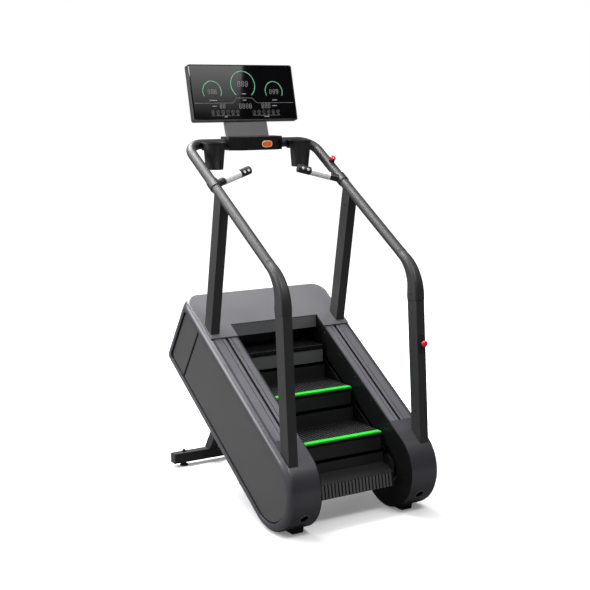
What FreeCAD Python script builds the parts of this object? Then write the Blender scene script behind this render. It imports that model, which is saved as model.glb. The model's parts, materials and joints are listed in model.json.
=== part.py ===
import FreeCAD, Part
import math
import os

# Stair climber: two slanted side housings with a moving staircase between them,
# four posts, a bent handrail and a display. Millimetres, +Z up, +Y up the stairs,
# +X to the user's right. Shapes are laid out from the front feet, then moved so
# that the origin lies on the floor under the middle of the machine.

V = FreeCAD.Vector
ORIGIN_Y = 546.0          # distance of the row origin behind the front feet
FLOOR_Z = 16.0            # height of the floor in the layout

# staircase and housings, measured in the slanted plane: s up the slope, n square to it
SLOPE = 33.0
AXIS_Y, AXIS_Z = 47.0, 228.0          # lower shaft
SHAFT_GAP = 1050.0                    # lower shaft to upper shaft
SPROCKET_R = 75.0
STEP_COUNT = 8
FULL_STEPS = 3
STEP_PITCH = (2 * SHAFT_GAP + 2 * math.pi * SPROCKET_R) / STEP_COUNT
HOUSING_HALF = 205.0                  # housing half height, and radius of its round ends
HOUSING_END = 1150.0
WALL_IN, WALL_OUT = 262.0, 412.0      # housing lane across X
COVER_OUT = 438.0
RIM_HALF = 170.0
SHEET = 4.0
TREAD_HALF = 253.0
FIRST_NOSING = 124.0                  # s of the lowest full step's nosing
NOSING_N = 130.0
TREAD_DEPTH = 258.0
TREAD_THICK = 22.0
RISER_H = 92.0
KICK_H = 70.0

# inside lanes across X, each side
CHAIN_IN, CHAIN_OUT = 274.0, 298.0
FRAME_IN, FRAME_OUT = 309.0, 359.0
SHAFT_R = 12.5
BEARING_R = 26.0

# posts and rails
POST_X = 384.0
POST_W, POST_D = 50.0, 71.0
FRONT_LEAN, REAR_LEAN = 0.076, -0.171
FRONT_FACE_Y, FRONT_FACE_Z = -100.0, 375.0
REAR_FACE_Y, REAR_FACE_Z = 632.0, 1000.0
COLLAR_Z = 1079.0
RAIL_SLOPE = 32.0
RAIL_R = 26.0
RAIL_Y, RAIL_Z = 340.0, 1440.0        # a point on the rail's centre line
BEND_R = 90.0
BAR_Y = 950.0
ELBOW_R = 200.0

# console
SCREEN_HALF = 319.0
SCREEN_LEAN = 13.7
SCREEN_H = 304.0
SCREEN_FOOT_Y, SCREEN_FOOT_Z = 980.0, 1937.0

# stand and feet
BAR_HALF = 350.0
STAND_Y = 1222.0
STAND_Z0, STAND_Z1 = 36.0, 94.0
LEG_X = 112.0
FOOT_X = 324.0
REAR_FOOT_X = 285.0

RAIL_RISE = math.tan(math.radians(RAIL_SLOPE))
BAR_Z = RAIL_Z + (BAR_Y - RAIL_Y) * RAIL_RISE
RAIL_DIR = V(0, math.cos(math.radians(RAIL_SLOPE)), math.sin(math.radians(RAIL_SLOPE)))
RAIL_UP = V(0, -RAIL_DIR.z, RAIL_DIR.y)


# ---------- helpers ----------
def put(node, shape):
    """Moves a finished sub-part to the row's origin and writes it."""
    shape = shape.copy()
    shape.translate(V(0, -ORIGIN_Y, -FLOOR_Z))
    shape.exportStep("parts/" + node + ".step")


def mirrored(shape):
    return shape.mirror(V(0, 0, 0), V(1, 0, 0))


def put_pair(name, right_shape):
    """The left piece is the mirror image of the right one."""
    put(name + "_right", right_shape)
    put(name + "_left", mirrored(right_shape))


def box(x0, x1, y0, y1, z0, z1):
    return Part.makeBox(x1 - x0, y1 - y0, z1 - z0, V(x0, y0, z0))


def rod(start, end, radius):
    along = end.sub(start)
    return Part.makeCylinder(radius, along.Length, start, along)


def rod_x(x0, x1, y, z, radius):
    return rod(V(x0, y, z), V(x1, y, z), radius)


def prism_x(points, x0, x1):
    """Closed outline of (y, z) points pulled from x0 to x1."""
    ring = [V(x0, y, z) for y, z in points]
    face = Part.Face(Part.makePolygon(ring + [ring[0]]))
    return face.extrude(V(x1 - x0, 0, 0))


def fused(shapes):
    whole = shapes[0]
    if len(shapes) > 1:
        whole = whole.fuse(shapes[1:])
    return whole.removeSplitter()


def group(shapes):
    return Part.makeCompound(shapes)


def on_slope(shape):
    """Turns a shape drawn as (x, s, n) into place on the slope."""
    shape = shape.copy()
    shape.rotate(V(0, 0, 0), V(1, 0, 0), SLOPE)
    shape.translate(V(0, AXIS_Y, AXIS_Z))
    return shape


def slope_point(s, n):
    """(y, z) of a point given up the slope and square to it."""
    c, k = math.cos(math.radians(SLOPE)), math.sin(math.radians(SLOPE))
    return AXIS_Y + s * c - n * k, AXIS_Z + s * k + n * c


def stadium(x, half, end, corner):
    """Outline of a housing: round lower end, straight sides, small rear corners."""
    k = corner * (1 - math.sqrt(0.5))
    top, low = V(x, 0, half), V(x, 0, -half)
    edges = [
        Part.makeLine(top, V(x, end - corner, half)),
        Part.Arc(V(x, end - corner, half), V(x, end - k, half - k), V(x, end, half - corner)).toShape(),
        Part.makeLine(V(x, end, half - corner), V(x, end, -half + corner)),
        Part.Arc(V(x, end, -half + corner), V(x, end - k, -half + k), V(x, end - corner, -half)).toShape(),
        Part.makeLine(V(x, end - corner, -half), low),
        Part.Arc(low, V(x, -half, 0), top).toShape(),
    ]
    return Part.Wire(edges)


def stadium_plate(x0, x1, half, end, corner):
    return Part.Face(stadium(x0, half, end, corner)).extrude(V(x1 - x0, 0, 0))


# ---------- posts ----------
def front_post_body(grow=0.0):
    """Leaning front post from inside the housing up into the elbow."""
    low, high = 150.0, COLLAR_Z + 55.0
    y_low = FRONT_FACE_Y + (low - FRONT_FACE_Z) * FRONT_LEAN - grow
    y_high = FRONT_FACE_Y + (high - FRONT_FACE_Z) * FRONT_LEAN - grow
    depth = POST_D + 2 * grow
    outline = [(y_low, low), (y_low + depth, low), (y_high + depth, high), (y_high, high)]
    return prism_x(outline, POST_X - POST_W / 2 - grow, POST_X + POST_W / 2 + grow)


def rear_post_body(grow=0.0, top_cut=True):
    """Rear post from the frame rail up to the underside of the handrail."""
    low, high = 500.0, 1640.0
    y_low = REAR_FACE_Y + (low - REAR_FACE_Z) * REAR_LEAN - grow
    y_high = REAR_FACE_Y + (high - REAR_FACE_Z) * REAR_LEAN - grow
    depth = POST_D + 2 * grow
    outline = [(y_low, low), (y_low + depth, low), (y_high + depth, high), (y_high, high)]
    post = prism_x(outline, POST_X - POST_W / 2 - grow, POST_X + POST_W / 2 + grow)
    if top_cut:
        above = rail_line(0.0)
        lid = box(POST_X - 60, POST_X + 60, -400, 900, 0, 500)
        lid.rotate(V(0, 0, 0), V(1, 0, 0), RAIL_SLOPE)
        lid.translate(V(0, above.y, above.z))
        post = post.cut(lid).cut(rail_rod(RAIL_R + 0.2))
    return post


def rail_line(y):
    return V(POST_X, y, RAIL_Z + (y - RAIL_Y) * RAIL_RISE)


def rail_rod(radius):
    return rod(rail_line(60.0), rail_line(BAR_Y), radius)


def hollow_front_post():
    body = front_post_body()
    core = front_post_body(-2.5)
    return body.cut(core)


def hollow_rear_post():
    body = rear_post_body()
    core = rear_post_body(-2.5, False)
    return body.cut(core.cut(plug_zone()))


def plug_zone():
    """Leaves the top of the rear post solid where it meets the rail."""
    return box(POST_X - 60, POST_X + 60, 300, 900, 1500, 1700)


def elbow_path():
    """Centre line of the elbow: two straight runs and the arc between them."""
    a = V(0, FRONT_LEAN, 1).normalize()
    mid_y = FRONT_FACE_Y + (COLLAR_Z - FRONT_FACE_Z) * FRONT_LEAN + POST_D / 2
    start = V(POST_X, mid_y, COLLAR_Z)
    run = (rail_line(mid_y).z - COLLAR_Z) / (a.z - a.y * RAIL_RISE)
    corner = start + a * run
    turn = math.acos(a.dot(RAIL_DIR))
    tangent = ELBOW_R * math.tan(turn / 2)
    arc_start = corner - a * tangent
    centre = arc_start + V(0, a.z, -a.y) * ELBOW_R
    return start, a, arc_start, centre, turn


def rounded_ring(origin, across, along, width, depth, radius):
    """Rounded rectangle in the plane of across and along."""
    w, d, r = width / 2, depth / 2, radius
    q = r * (1 - math.sqrt(0.5))

    def at(u, v):
        return origin + across * u + along * v

    corners = [(1, 1), (-1, 1), (-1, -1), (1, -1)]
    edges = []
    for i, (sx, sy) in enumerate(corners):
        ends = [at(sx * w, sy * (d - r)), at(sx * (w - r), sy * d)]
        if i % 2:
            ends.reverse()
        edges.append(Part.Arc(ends[0], at(sx * (w - q), sy * (d - q)), ends[1]).toShape())
        nx, ny = corners[(i + 1) % 4]
        if i % 2:
            nxt = at(nx * w, ny * (d - r))
        else:
            nxt = at(nx * (w - r), ny * d)
        edges.append(Part.makeLine(ends[1], nxt))
    return Part.Wire(edges)


def elbow():
    """Cast elbow: square collar over the post, round socket under the rail."""
    start, a, arc_start, centre, turn = elbow_path()
    steps = 6
    rings = [rounded_ring(start, V(1, 0, 0), V(0, a.z, -a.y), 57, 78, 12)]
    for i in range(steps + 1):
        t = i / steps
        angle = turn * t
        back = V(0, a.z, -a.y) * math.cos(angle) - a * math.sin(angle)
        at = centre - back * ELBOW_R
        across = 57 - 3 * t
        along = 78 - 24 * t
        rings.append(rounded_ring(at, V(1, 0, 0), back, across, along, 12 + 14.6 * t))
    end = centre - V(0, RAIL_DIR.z, -RAIL_DIR.y) * ELBOW_R + RAIL_DIR * 34
    rings.append(rounded_ring(end, V(1, 0, 0), V(0, RAIL_DIR.z, -RAIL_DIR.y), 54, 54, 26.6))
    body = Part.makeLoft(rings, True, False)
    socket = rod(end - RAIL_DIR * 30, end + RAIL_DIR * 40, RAIL_R + 0.05)
    return body.cut(front_post_body(0.05)).cut(socket), end


# ---------- handrail ----------
def rail_solid(start, radius):
    """Solid along the right rail: up the slope, round the bend and inward."""
    bend_in = rail_line(BAR_Y) - RAIL_DIR * BEND_R
    bend_out = V(POST_X - BEND_R, BAR_Y, BAR_Z)
    centre = V(POST_X - BEND_R, bend_in.y, bend_in.z)
    half = (V(1, 0, 0) + RAIL_DIR) * (BEND_R / math.sqrt(2))
    path = Part.Wire([
        Part.makeLine(start, bend_in),
        Part.Arc(bend_in, centre + half, bend_out).toShape(),
        Part.makeLine(bend_out, V(150, BAR_Y, BAR_Z)),
    ])
    ring = Part.Wire(Part.makeCircle(radius, start, RAIL_DIR))
    return path.makePipeShell([ring], True, False)


def rail_half(start):
    """Right handrail tube, from the elbow to the switch box."""
    return rail_solid(start, RAIL_R).cut(rail_solid(start, RAIL_R - 2.5))


def crossbar():
    a, b = V(-149.6, BAR_Y, BAR_Z), V(149.6, BAR_Y, BAR_Z)
    return rod(a, b, RAIL_R).cut(rod(a, b, RAIL_R - 2.5))


CUP_X, CUP_Y = 262.0, 868.0
CUP_TOP = BAR_Z + 12.0
CUP_DEEP = 140.0


def cup_holder():
    """Tapered cup with a tray that clips under the crossbar."""
    base = V(CUP_X, CUP_Y, CUP_TOP - CUP_DEEP)
    outer = Part.makeCone(46, 58, CUP_DEEP, base, V(0, 0, 1))
    inner = Part.makeCone(43, 55, CUP_DEEP, base + V(0, 0, 3), V(0, 0, 1))
    rim = Part.makeCylinder(63, 5, V(CUP_X, CUP_Y, CUP_TOP - 5), V(0, 0, 1))
    tray = box(CUP_X - 52, CUP_X + 52, CUP_Y, BAR_Y, CUP_TOP - 5, CUP_TOP)
    saddle = box(CUP_X - 36, CUP_X + 30, BAR_Y - 34, BAR_Y, BAR_Z - 32, CUP_TOP - 2)
    body = fused([outer, rim, tray, saddle]).cut(inner)
    return body.cut(rail_solid(rail_line(600.0), RAIL_R + 0.2))


BOX_FRONT = 852.0
BOX_TOP, BOX_LOW = BAR_Z + 36.0, BAR_Z - 34.0
STOP_X, STOP_Z = 45.0, BAR_Z - 2.0


def control_box():
    """Switch box clamped round the middle of the crossbar."""
    plan = [(-150, 985), (-165, 975), (-162, 890), (-110, BOX_FRONT), (110, BOX_FRONT),
            (162, 890), (165, 975), (150, 985)]
    ring = [V(x, y, BOX_LOW) for x, y in plan]
    body = Part.Face(Part.makePolygon(ring + [ring[0]])).extrude(V(0, 0, BOX_TOP - BOX_LOW))
    hollow = box(-105, 105, BOX_FRONT + 4, BAR_Y - RAIL_R - 6, BOX_LOW + 4, BOX_TOP - 4)
    bar = rod(V(-170, BAR_Y, BAR_Z), V(170, BAR_Y, BAR_Z), RAIL_R + 0.1)
    window = box(STOP_X - 28, STOP_X + 28, BOX_FRONT - 5, BOX_FRONT + 6, STOP_Z - 14, STOP_Z + 14)
    return body.cut(hollow).cut(bar).cut(window)


def pill(x, y0, y1, z, half_w, half_h):
    """Flat button with round ends, standing in the X-Z plane."""
    mid = box(x - half_w + half_h, x + half_w - half_h, y0, y1, z - half_h, z + half_h)
    ends = [rod(V(x + side * (half_w - half_h), y0, z), V(x + side * (half_w - half_h), y1, z), half_h)
            for side in (-1, 1)]
    return fused([mid] + ends)


def stop_button():
    face = pill(STOP_X, BOX_FRONT - 6, BOX_FRONT + 12, STOP_Z, 27, 13)
    return face


def stop_bezel():
    outer = pill(STOP_X, BOX_FRONT - 2.5, BOX_FRONT, STOP_Z, 33, 18)
    return outer.cut(pill(STOP_X, BOX_FRONT - 10, BOX_FRONT + 10, STOP_Z, 27.6, 13.6))


# ---------- console ----------
def leaned(shape):
    """Turns a shape drawn upright behind the screen's lower edge into its lean."""
    shape = shape.copy()
    shape.rotate(V(0, 0, 0), V(1, 0, 0), -SCREEN_LEAN)
    shape.translate(V(0, SCREEN_FOOT_Y, SCREEN_FOOT_Z))
    return shape


def rounded_slab(half, y0, y1, z0, z1, radius):
    slab = box(-half, half, y0, y1, z0, z1)
    rims = [e for e in slab.Edges if abs(e.tangentAt(e.FirstParameter).y) > 0.99]
    return slab.makeFillet(radius, rims)


def console_back():
    shell = rounded_slab(SCREEN_HALF, 6, 32, 0, SCREEN_H, 12)
    bulge = rounded_slab(SCREEN_HALF - 60, 32, 52, 40, SCREEN_H - 40, 20)
    hollow = rounded_slab(SCREEN_HALF - 6, 12, 28, 6, SCREEN_H - 6, 8)
    return leaned(fused([shell, bulge]).cut(hollow))


def console_bezel():
    ring = rounded_slab(SCREEN_HALF, 0, 6, 0, SCREEN_H, 12)
    return leaned(ring.cut(rounded_slab(SCREEN_HALF - 5, -5, 10, 9, SCREEN_H - 5, 9)))


def console_glass():
    return leaned(rounded_slab(SCREEN_HALF - 5.2, 0.8, 5.8, 9.2, SCREEN_H - 5.2, 8.8))


BRACKET_HALF = 125.0
BRACKET_FOOT_Y = 965.0
BRACKET_LEAN = 0.32


def console_bracket():
    """Folded plate from the switch box up to the display, with a spine behind it."""
    foot, top = BRACKET_FOOT_Y, SCREEN_FOOT_Z + 20
    y_top = foot + (top - BOX_TOP) * BRACKET_LEAN
    outline = [(foot, BOX_TOP), (foot + 4, BOX_TOP), (y_top + 4, top), (y_top, top)]
    deep = [(foot, BOX_TOP), (foot + 30, BOX_TOP), (y_top + 30, top), (y_top, top)]
    front = prism_x(outline, -BRACKET_HALF, BRACKET_HALF)
    flanges = [prism_x(deep, -BRACKET_HALF, -BRACKET_HALF + 3), prism_x(deep, BRACKET_HALF - 3, BRACKET_HALF)]
    base = box(-BRACKET_HALF, BRACKET_HALF, foot, foot + 19, BOX_TOP, BOX_TOP + 3)
    back = [(foot + 4, BOX_TOP), (foot + 30, BOX_TOP), (1078, 1965), (1090, 2045), (1030, 2045), (1010, 1940)]
    spine = prism_x(back, -60, 60)
    body = fused([front, base, spine] + flanges)
    return body.cut(leaned(box(-400, 400, -60, 52.0, -0.3, SCREEN_H + 60)))


# ---------- hand grips ----------
GRIP_ROOT = V(POST_X, 648.0, RAIL_Z + (648.0 - RAIL_Y) * RAIL_RISE)
GRIP_TIP = V(132.0, 712.0, GRIP_ROOT.z + 68.0)
GRIP_DIR = (GRIP_TIP - GRIP_ROOT).normalize()
GRIP_BUTTON_SIDE = V(0, -1, 0.25).normalize()
GRIP_BUTTONS = (205.0, 234.0)


def grip_at(distance):
    return GRIP_ROOT + GRIP_DIR * distance


def grip_arm():
    """Clamp round the rail and the bar that carries the contact plates."""
    clamp = rod(rail_line(648.0) - RAIL_DIR * 26, rail_line(648.0) + RAIL_DIR * 26, RAIL_R + 4)
    arm = rod(grip_at(20), grip_at(212), 15)
    neck = rod(grip_at(24), grip_at(62), 20)
    hole = rod(rail_line(560.0), rail_line(740.0), RAIL_R + 0.1)
    return fused([clamp, arm, neck]).cut(hole)


def grip_plates():
    """Upper and lower halves of the bright contact sleeve, 2 mm apart."""
    sleeve = rod(grip_at(70), grip_at(180), 21).cut(rod(grip_at(60), grip_at(190), 15.1))
    return sleeve


def grip_end():
    body = rod(grip_at(184), grip_at(252), 22).cut(rod(grip_at(180), grip_at(213), 15.1))
    for pos in GRIP_BUTTONS:
        centre = grip_at(pos)
        well = rod(centre + GRIP_BUTTON_SIDE * 16, centre + GRIP_BUTTON_SIDE * 40, 7.6)
        body = body.cut(well)
    return body


def grip_button(pos):
    centre = grip_at(pos)
    return rod(centre + GRIP_BUTTON_SIDE * 18.5, centre + GRIP_BUTTON_SIDE * 24.5, 7.0)


# ---------- emergency buttons ----------
RAIL_STOP_Y = 757.0
POST_STOP_Z = 868.0


def rail_stop_base():
    seat = rail_line(RAIL_STOP_Y)
    boss = rod(seat, seat + RAIL_UP * 36, 15)
    return boss.cut(rod(seat - RAIL_DIR * 40, seat + RAIL_DIR * 40, RAIL_R + 0.1)).cut(
        rod(seat + RAIL_UP * 20, seat + RAIL_UP * 60, 6.3))


def mushroom(seat, along, stem_from, cap_from, cap_to):
    stem = rod(seat + along * stem_from, seat + along * cap_from, 6.0)
    cap = rod(seat + along * cap_from, seat + along * (cap_to - 4), 16)
    dome = Part.makeCone(16, 11, 4, seat + along * (cap_to - 4), along)
    return fused([stem, cap, dome])


def rail_stop_knob():
    return mushroom(rail_line(RAIL_STOP_Y), RAIL_UP, 31.5, 42, 56)


POST_STOP_DIR = V(0, -1, FRONT_LEAN).normalize()


def post_stop_seat():
    y = FRONT_FACE_Y + (POST_STOP_Z - FRONT_FACE_Z) * FRONT_LEAN
    return V(POST_X, y, POST_STOP_Z)


def post_stop_base():
    """Oval plate on the post's front face with a round collar."""
    seat = post_stop_seat()
    up = V(0, FRONT_LEAN, 1).normalize()
    ends = [rod(seat + up * k, seat + up * k + POST_STOP_DIR * 5, 18) for k in (-18, 18)]
    mid = prism_x([((seat + up * a + POST_STOP_DIR * b).y, (seat + up * a + POST_STOP_DIR * b).z)
                   for a, b in ((-18, 0), (-18, 5), (18, 5), (18, 0))], POST_X - 18, POST_X + 18)
    collar = rod(seat, seat + POST_STOP_DIR * 14, 12)
    return fused(ends + [mid, collar]).cut(rod(seat + POST_STOP_DIR * 4, seat + POST_STOP_DIR * 40, 6.3))


def post_stop_knob():
    return mushroom(post_stop_seat(), POST_STOP_DIR, 12, 21, 34)


# ---------- housings ----------
RIB_START, RIB_END = 118.0, 830.0
RIB_DEEP = 5.0
PORT_R = 23.0
HOOD_START = 918.0
HOOD_END = 1162.0
HOOD_THICK = 6.0


def housing_shell():
    """Bent band that makes the top, round lower end and underside of one housing."""
    outer = stadium_plate(WALL_IN + 5, WALL_OUT, HOUSING_HALF, HOUSING_END, 30)
    inner = stadium_plate(WALL_IN, WALL_OUT + 5, HOUSING_HALF - SHEET - 4, HOUSING_END - SHEET, 26)
    tray = box(WALL_IN + 12, WALL_OUT - 10, RIB_START, RIB_END, HOUSING_HALF - RIB_DEEP, HOUSING_HALF + 5)
    port = rod(V(340, -HOUSING_HALF - 20, 0), V(340, -HOUSING_HALF + 40, 0), PORT_R)
    band = on_slope(outer.cut(inner).cut(tray).cut(port))
    return band.cut(front_post_body(1.0)).cut(rear_post_body(1.0, False))


def rib_strip():
    """Ribbed strip let into the top of the housing."""
    x0, x1 = WALL_IN + 12.4, WALL_OUT - 10.4
    strip = box(x0, x1, RIB_START + 0.4, RIB_END - 0.4, HOUSING_HALF - RIB_DEEP, HOUSING_HALF)
    grooves = [(30, 3), (50, 14), (82, 3)]
    for offset, width in grooves:
        strip = strip.cut(box(x0 + offset, x0 + offset + width, 0, 900, HOUSING_HALF - 4, HOUSING_HALF + 1))
    return on_slope(strip)


def inner_wall():
    """Flat skirt beside the treads, slotted for the step axles."""
    plate = stadium_plate(WALL_IN, WALL_IN + 5, HOUSING_HALF, HOUSING_END, 30)
    for n in (-SPROCKET_R, SPROCKET_R):
        plate = plate.cut(box(WALL_IN - 1, WALL_IN + 6, 0, SHAFT_GAP, n - 11, n + 11))
    for s in CROSS_S:
        low = FRAME_LOW + 7.5
        plate = plate.cut(box(WALL_IN - 1, WALL_IN + 6, s - 25.5, s + 25.5, low, low + CROSS_SIZE + 1))
    for s in (0, SHAFT_GAP):
        ring = rod(V(WALL_IN - 1, s, 0), V(WALL_IN + 6, s, 0), SPROCKET_R + 11)
        plate = plate.cut(ring)
    return on_slope(plate)


def side_cover():
    """Rounded frame round the outside of a housing, with a pocket for the panel."""
    rings = []
    width = COVER_OUT - WALL_OUT
    drop = HOUSING_HALF - RIM_HALF
    for t in (0.0, 0.25, 0.5, 0.75, 1.0):
        angle = t * math.pi / 2
        half = RIM_HALF + drop * math.cos(angle)
        x = WALL_OUT + width * math.sin(angle)
        rings.append(stadium(x, half, HOUSING_END - (HOUSING_HALF - half), 30))
    body = Part.makeLoft(rings, True, True)
    edge = RIM_HALF - 8
    end = HOUSING_END - (HOUSING_HALF - edge)
    pocket = stadium_plate(WALL_OUT + 12, COVER_OUT + 5, edge, end, 26)
    inside = stadium_plate(WALL_OUT - 1, WALL_OUT + 9, RIM_HALF - 12, HOUSING_END - 50, 20)
    return on_slope(body.cut(pocket).cut(inside))


def side_panel():
    """Flat panel in the side cover, split at the rear service seam."""
    edge = RIM_HALF - 8.6
    end = HOUSING_END - (HOUSING_HALF - edge)
    panel = stadium_plate(WALL_OUT + 12, WALL_OUT + 18, edge, end, 25)
    seam = box(WALL_OUT, COVER_OUT, 938, 940, -300, 300)
    return on_slope(panel.cut(seam))


def hood():
    """Lid over the top of the stairs, with arms down both sides of the opening."""
    top = HOUSING_HALF + HOOD_THICK
    half = COVER_OUT - 16
    lid = box(-half, half, RIB_END + 0.6, HOOD_END, HOUSING_HALF, top)
    corners = [e for e in lid.Edges
               if abs(e.tangentAt(e.FirstParameter).z) > 0.99 and e.CenterOfMass.y > 1000]
    lid = lid.makeFillet(70, corners)
    opening = box(-WALL_IN - 4, WALL_IN + 4, 700, HOOD_START, 150, 260)
    lid = on_slope(lid.cut(opening))
    y, z = slope_point(HOOD_START, HOUSING_HALF)
    apron = box(-WALL_IN + 0.5, WALL_IN - 0.5, y, y + 4, z - 62, z + 2)
    top_cut = on_slope(box(-500, 500, 0, 1300, top - 0.1, 400))
    lip = on_slope(box(-half + 70, half - 70, HOOD_END - 6, HOOD_END, 150, HOUSING_HALF + 1))
    lid = fused([lid, apron.cut(top_cut), lip])
    holes = rear_post_body(1.0, False)
    return lid.cut(holes).cut(mirrored(holes))


def rear_panel():
    """Closes the back between and behind the housings."""
    plate = box(-WALL_IN + 0.5, WALL_IN - 0.5, HOUSING_END - 6, HOUSING_END, -HOUSING_HALF + 4, HOUSING_HALF)
    return on_slope(plate)


def belly_pan():
    pan = box(-WALL_IN + 0.5, WALL_IN - 0.5, 40, HOUSING_END - 7, -119, -116)
    return on_slope(pan)


# ---------- frame ----------
FRAME_LOW, FRAME_HIGH = -190.0, -120.0


def frame_rail():
    """Slanted box rail that carries the posts, bearings and legs."""
    rail = box(FRAME_IN, FRAME_OUT, 30, 1110, FRAME_LOW, FRAME_HIGH)
    core = box(FRAME_IN + 3, FRAME_OUT - 3, 30, 1110, FRAME_LOW + 3, FRAME_HIGH - 3)
    return on_slope(rail.cut(core))


def bearing_plate(s, reach):
    """Upright plate on the frame rail with the bearing's seat."""
    plate = box(FRAME_OUT - 8, FRAME_OUT, s - reach, s + reach, FRAME_HIGH, 40)
    bore = rod(V(FRAME_OUT - 20, s, 0), V(FRAME_OUT + 5, s, 0), BEARING_R)
    return on_slope(plate.cut(bore))


def bearing(s):
    ring = rod(V(FRAME_OUT - 12, s, 0), V(FRAME_OUT, s, 0), BEARING_R)
    bore = rod(V(FRAME_OUT - 14, s, 0), V(FRAME_OUT + 2, s, 0), SHAFT_R + 0.05)
    return on_slope(ring.cut(bore))


CROSS_S = (150.0, 520.0, 911.0)
CROSS_SIZE = 50.0


def cross_tube(s):
    """Square tube between the two frame rails."""
    low = FRAME_LOW + 8
    outer = box(-FRAME_IN, FRAME_IN, s - 25, s + 25, low, low + CROSS_SIZE)
    inner = box(-FRAME_IN, FRAME_IN, s - 22, s + 22, low + 3, low + CROSS_SIZE - 3)
    return on_slope(outer.cut(inner))


def front_gusset():
    """Plate that ties the front post to the frame rail inside the round end."""
    return on_slope(box(FRAME_OUT - 6, FRAME_OUT, -110, 130, -150, 140))


def frame_weldment():
    """Rail, front gusset and rear bearing plate in one weldment."""
    gusset = front_gusset().cut(on_slope(rod(V(300, 0, 0), V(400, 0, 0), 20)))
    parts = [frame_rail(), gusset, bearing_plate(SHAFT_GAP, 45)]
    return fused(parts)


def leg():
    """Slanted leg from the rear cross tube down to the floor bar."""
    y, z = slope_point(CROSS_S[2], FRAME_LOW + 8)
    top = V(LEG_X, y, z)
    down = V(0, math.sin(math.radians(SLOPE)), -math.cos(math.radians(SLOPE)))
    length = (z - STAND_Z1) / -down.z + 40
    outer = Part.makeBox(50, 50, length, V(-25, -25, 0))
    inner = Part.makeBox(44, 44, length, V(-22, -22, 0))
    tube = outer.cut(inner)
    tube.rotate(V(0, 0, 0), V(1, 0, 0), 180 + SLOPE)
    tube.translate(top)
    floor_cut = box(-500, 500, 900, 1500, -200, STAND_Z1)
    return tube.cut(floor_cut)


BAR_ROUND = 7.0


def long_edges(shape):
    """Edges that run along X."""
    return [e for e in shape.Edges if abs(e.tangentAt(e.FirstParameter).x) > 0.99]


def floor_bar():
    outer = box(-BAR_HALF, BAR_HALF, STAND_Y - 27, STAND_Y + 27, STAND_Z0, STAND_Z1)
    outer = outer.makeFillet(BAR_ROUND, long_edges(outer))
    inner = box(-BAR_HALF, BAR_HALF, STAND_Y - 24, STAND_Y + 24, STAND_Z0 + 3, STAND_Z1 - 3)
    bar = outer.cut(inner)
    for side in (-1, 1):
        x = side * REAR_FOOT_X
        bar = bar.cut(rod(V(x, STAND_Y, 0), V(x, STAND_Y, 200), 6.5))
    return bar


def bar_cap():
    cap = box(BAR_HALF, BAR_HALF + 4, STAND_Y - 27, STAND_Y + 27, STAND_Z0, STAND_Z1)
    cap = cap.makeFillet(BAR_ROUND, long_edges(cap))
    plug = box(BAR_HALF - 20, BAR_HALF, STAND_Y - 23.8, STAND_Y + 23.8, STAND_Z0 + 3.2, STAND_Z1 - 3.2)
    return fused([cap, plug])


def levelling_foot():
    """Threaded stem through the floor bar with a round pad and lock nut."""
    pad = Part.makeCone(25, 21, 9, V(REAR_FOOT_X, STAND_Y, FLOOR_Z), V(0, 0, 1))
    stem = rod(V(REAR_FOOT_X, STAND_Y, FLOOR_Z + 6), V(REAR_FOOT_X, STAND_Y, STAND_Z1 + 16), 6)
    return fused([pad, stem])


def hex_nut(x, y, z, thick, across=19.0):
    r = across / math.sqrt(3)
    ring = [V(x + r * math.cos(math.radians(60 * i)), y + r * math.sin(math.radians(60 * i)), z)
            for i in range(6)]
    nut = Part.Face(Part.makePolygon(ring + [ring[0]])).extrude(V(0, 0, thick))
    return nut.cut(rod(V(x, y, z - 1), V(x, y, z + thick + 1), 6.05))


def lock_nuts():
    nuts = []
    for side in (-1, 1):
        x = side * REAR_FOOT_X
        nuts.append(hex_nut(x, STAND_Y, STAND_Z0 - 10, 10))
        nuts.append(hex_nut(x, STAND_Y, STAND_Z1, 10))
    return nuts


def front_foot():
    """Wedge-shaped rubber foot shaped to the underside of the round end."""
    outline = [(-42, FLOOR_Z), (22, FLOOR_Z), (32, 60), (-54, 60)]
    block = prism_x(outline, FOOT_X - 31, FOOT_X + 31)
    return block.cut(rod_x(200, 500, AXIS_Y, AXIS_Z, HOUSING_HALF))


# ---------- drive ----------
def sprocket_teeth(s, x0, x1):
    """Disc with round tooth gaps, centred on a shaft at s."""
    disc = rod(V(x0, s, 0), V(x1, s, 0), SPROCKET_R + 3)
    count = 18
    for i in range(count):
        a = math.radians(360.0 * (i + 0.5) / count)
        y, z = s + SPROCKET_R * math.cos(a), SPROCKET_R * math.sin(a)
        disc = disc.cut(rod(V(x0 - 1, y, z), V(x1 + 1, y, z), 6.2))
    return disc


def shaft(s, half):
    return on_slope(rod(V(-half, s, 0), V(half, s, 0), SHAFT_R))


SHIELD_R = 62.0


def sprockets(s):
    """Pair of sprockets with hubs, and shields that fill the round openings in the inner walls."""
    mid = (CHAIN_IN + CHAIN_OUT) / 2
    disc = sprocket_teeth(s, mid - 4, mid + 4)
    hub = rod(V(mid - 10, s, 0), V(mid + 10, s, 0), 24)
    shield = rod(V(WALL_IN + 0.5, s, 0), V(WALL_IN + 3.5, s, 0), SHIELD_R)
    neck = rod(V(WALL_IN + 3.5, s, 0), V(mid - 10, s, 0), 18)
    one = fused([disc, hub, shield, neck]).cut(rod(V(200, s, 0), V(400, s, 0), SHAFT_R))
    one = on_slope(one)
    return group([one, mirrored(one)])


def chain():
    """Roller chain loop, drawn as a closed band with side-plate waist."""
    x0, x1 = CHAIN_IN, CHAIN_OUT
    mid = (x0 + x1) / 2
    outer = chain_band(x0, x1, SPROCKET_R + 9)
    inner = chain_band(x0 - 1, x1 + 1, SPROCKET_R - 9)
    slot = chain_band(mid - 5, mid + 5, SPROCKET_R + 3.6)
    return on_slope(outer.cut(inner).cut(slot))


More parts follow.
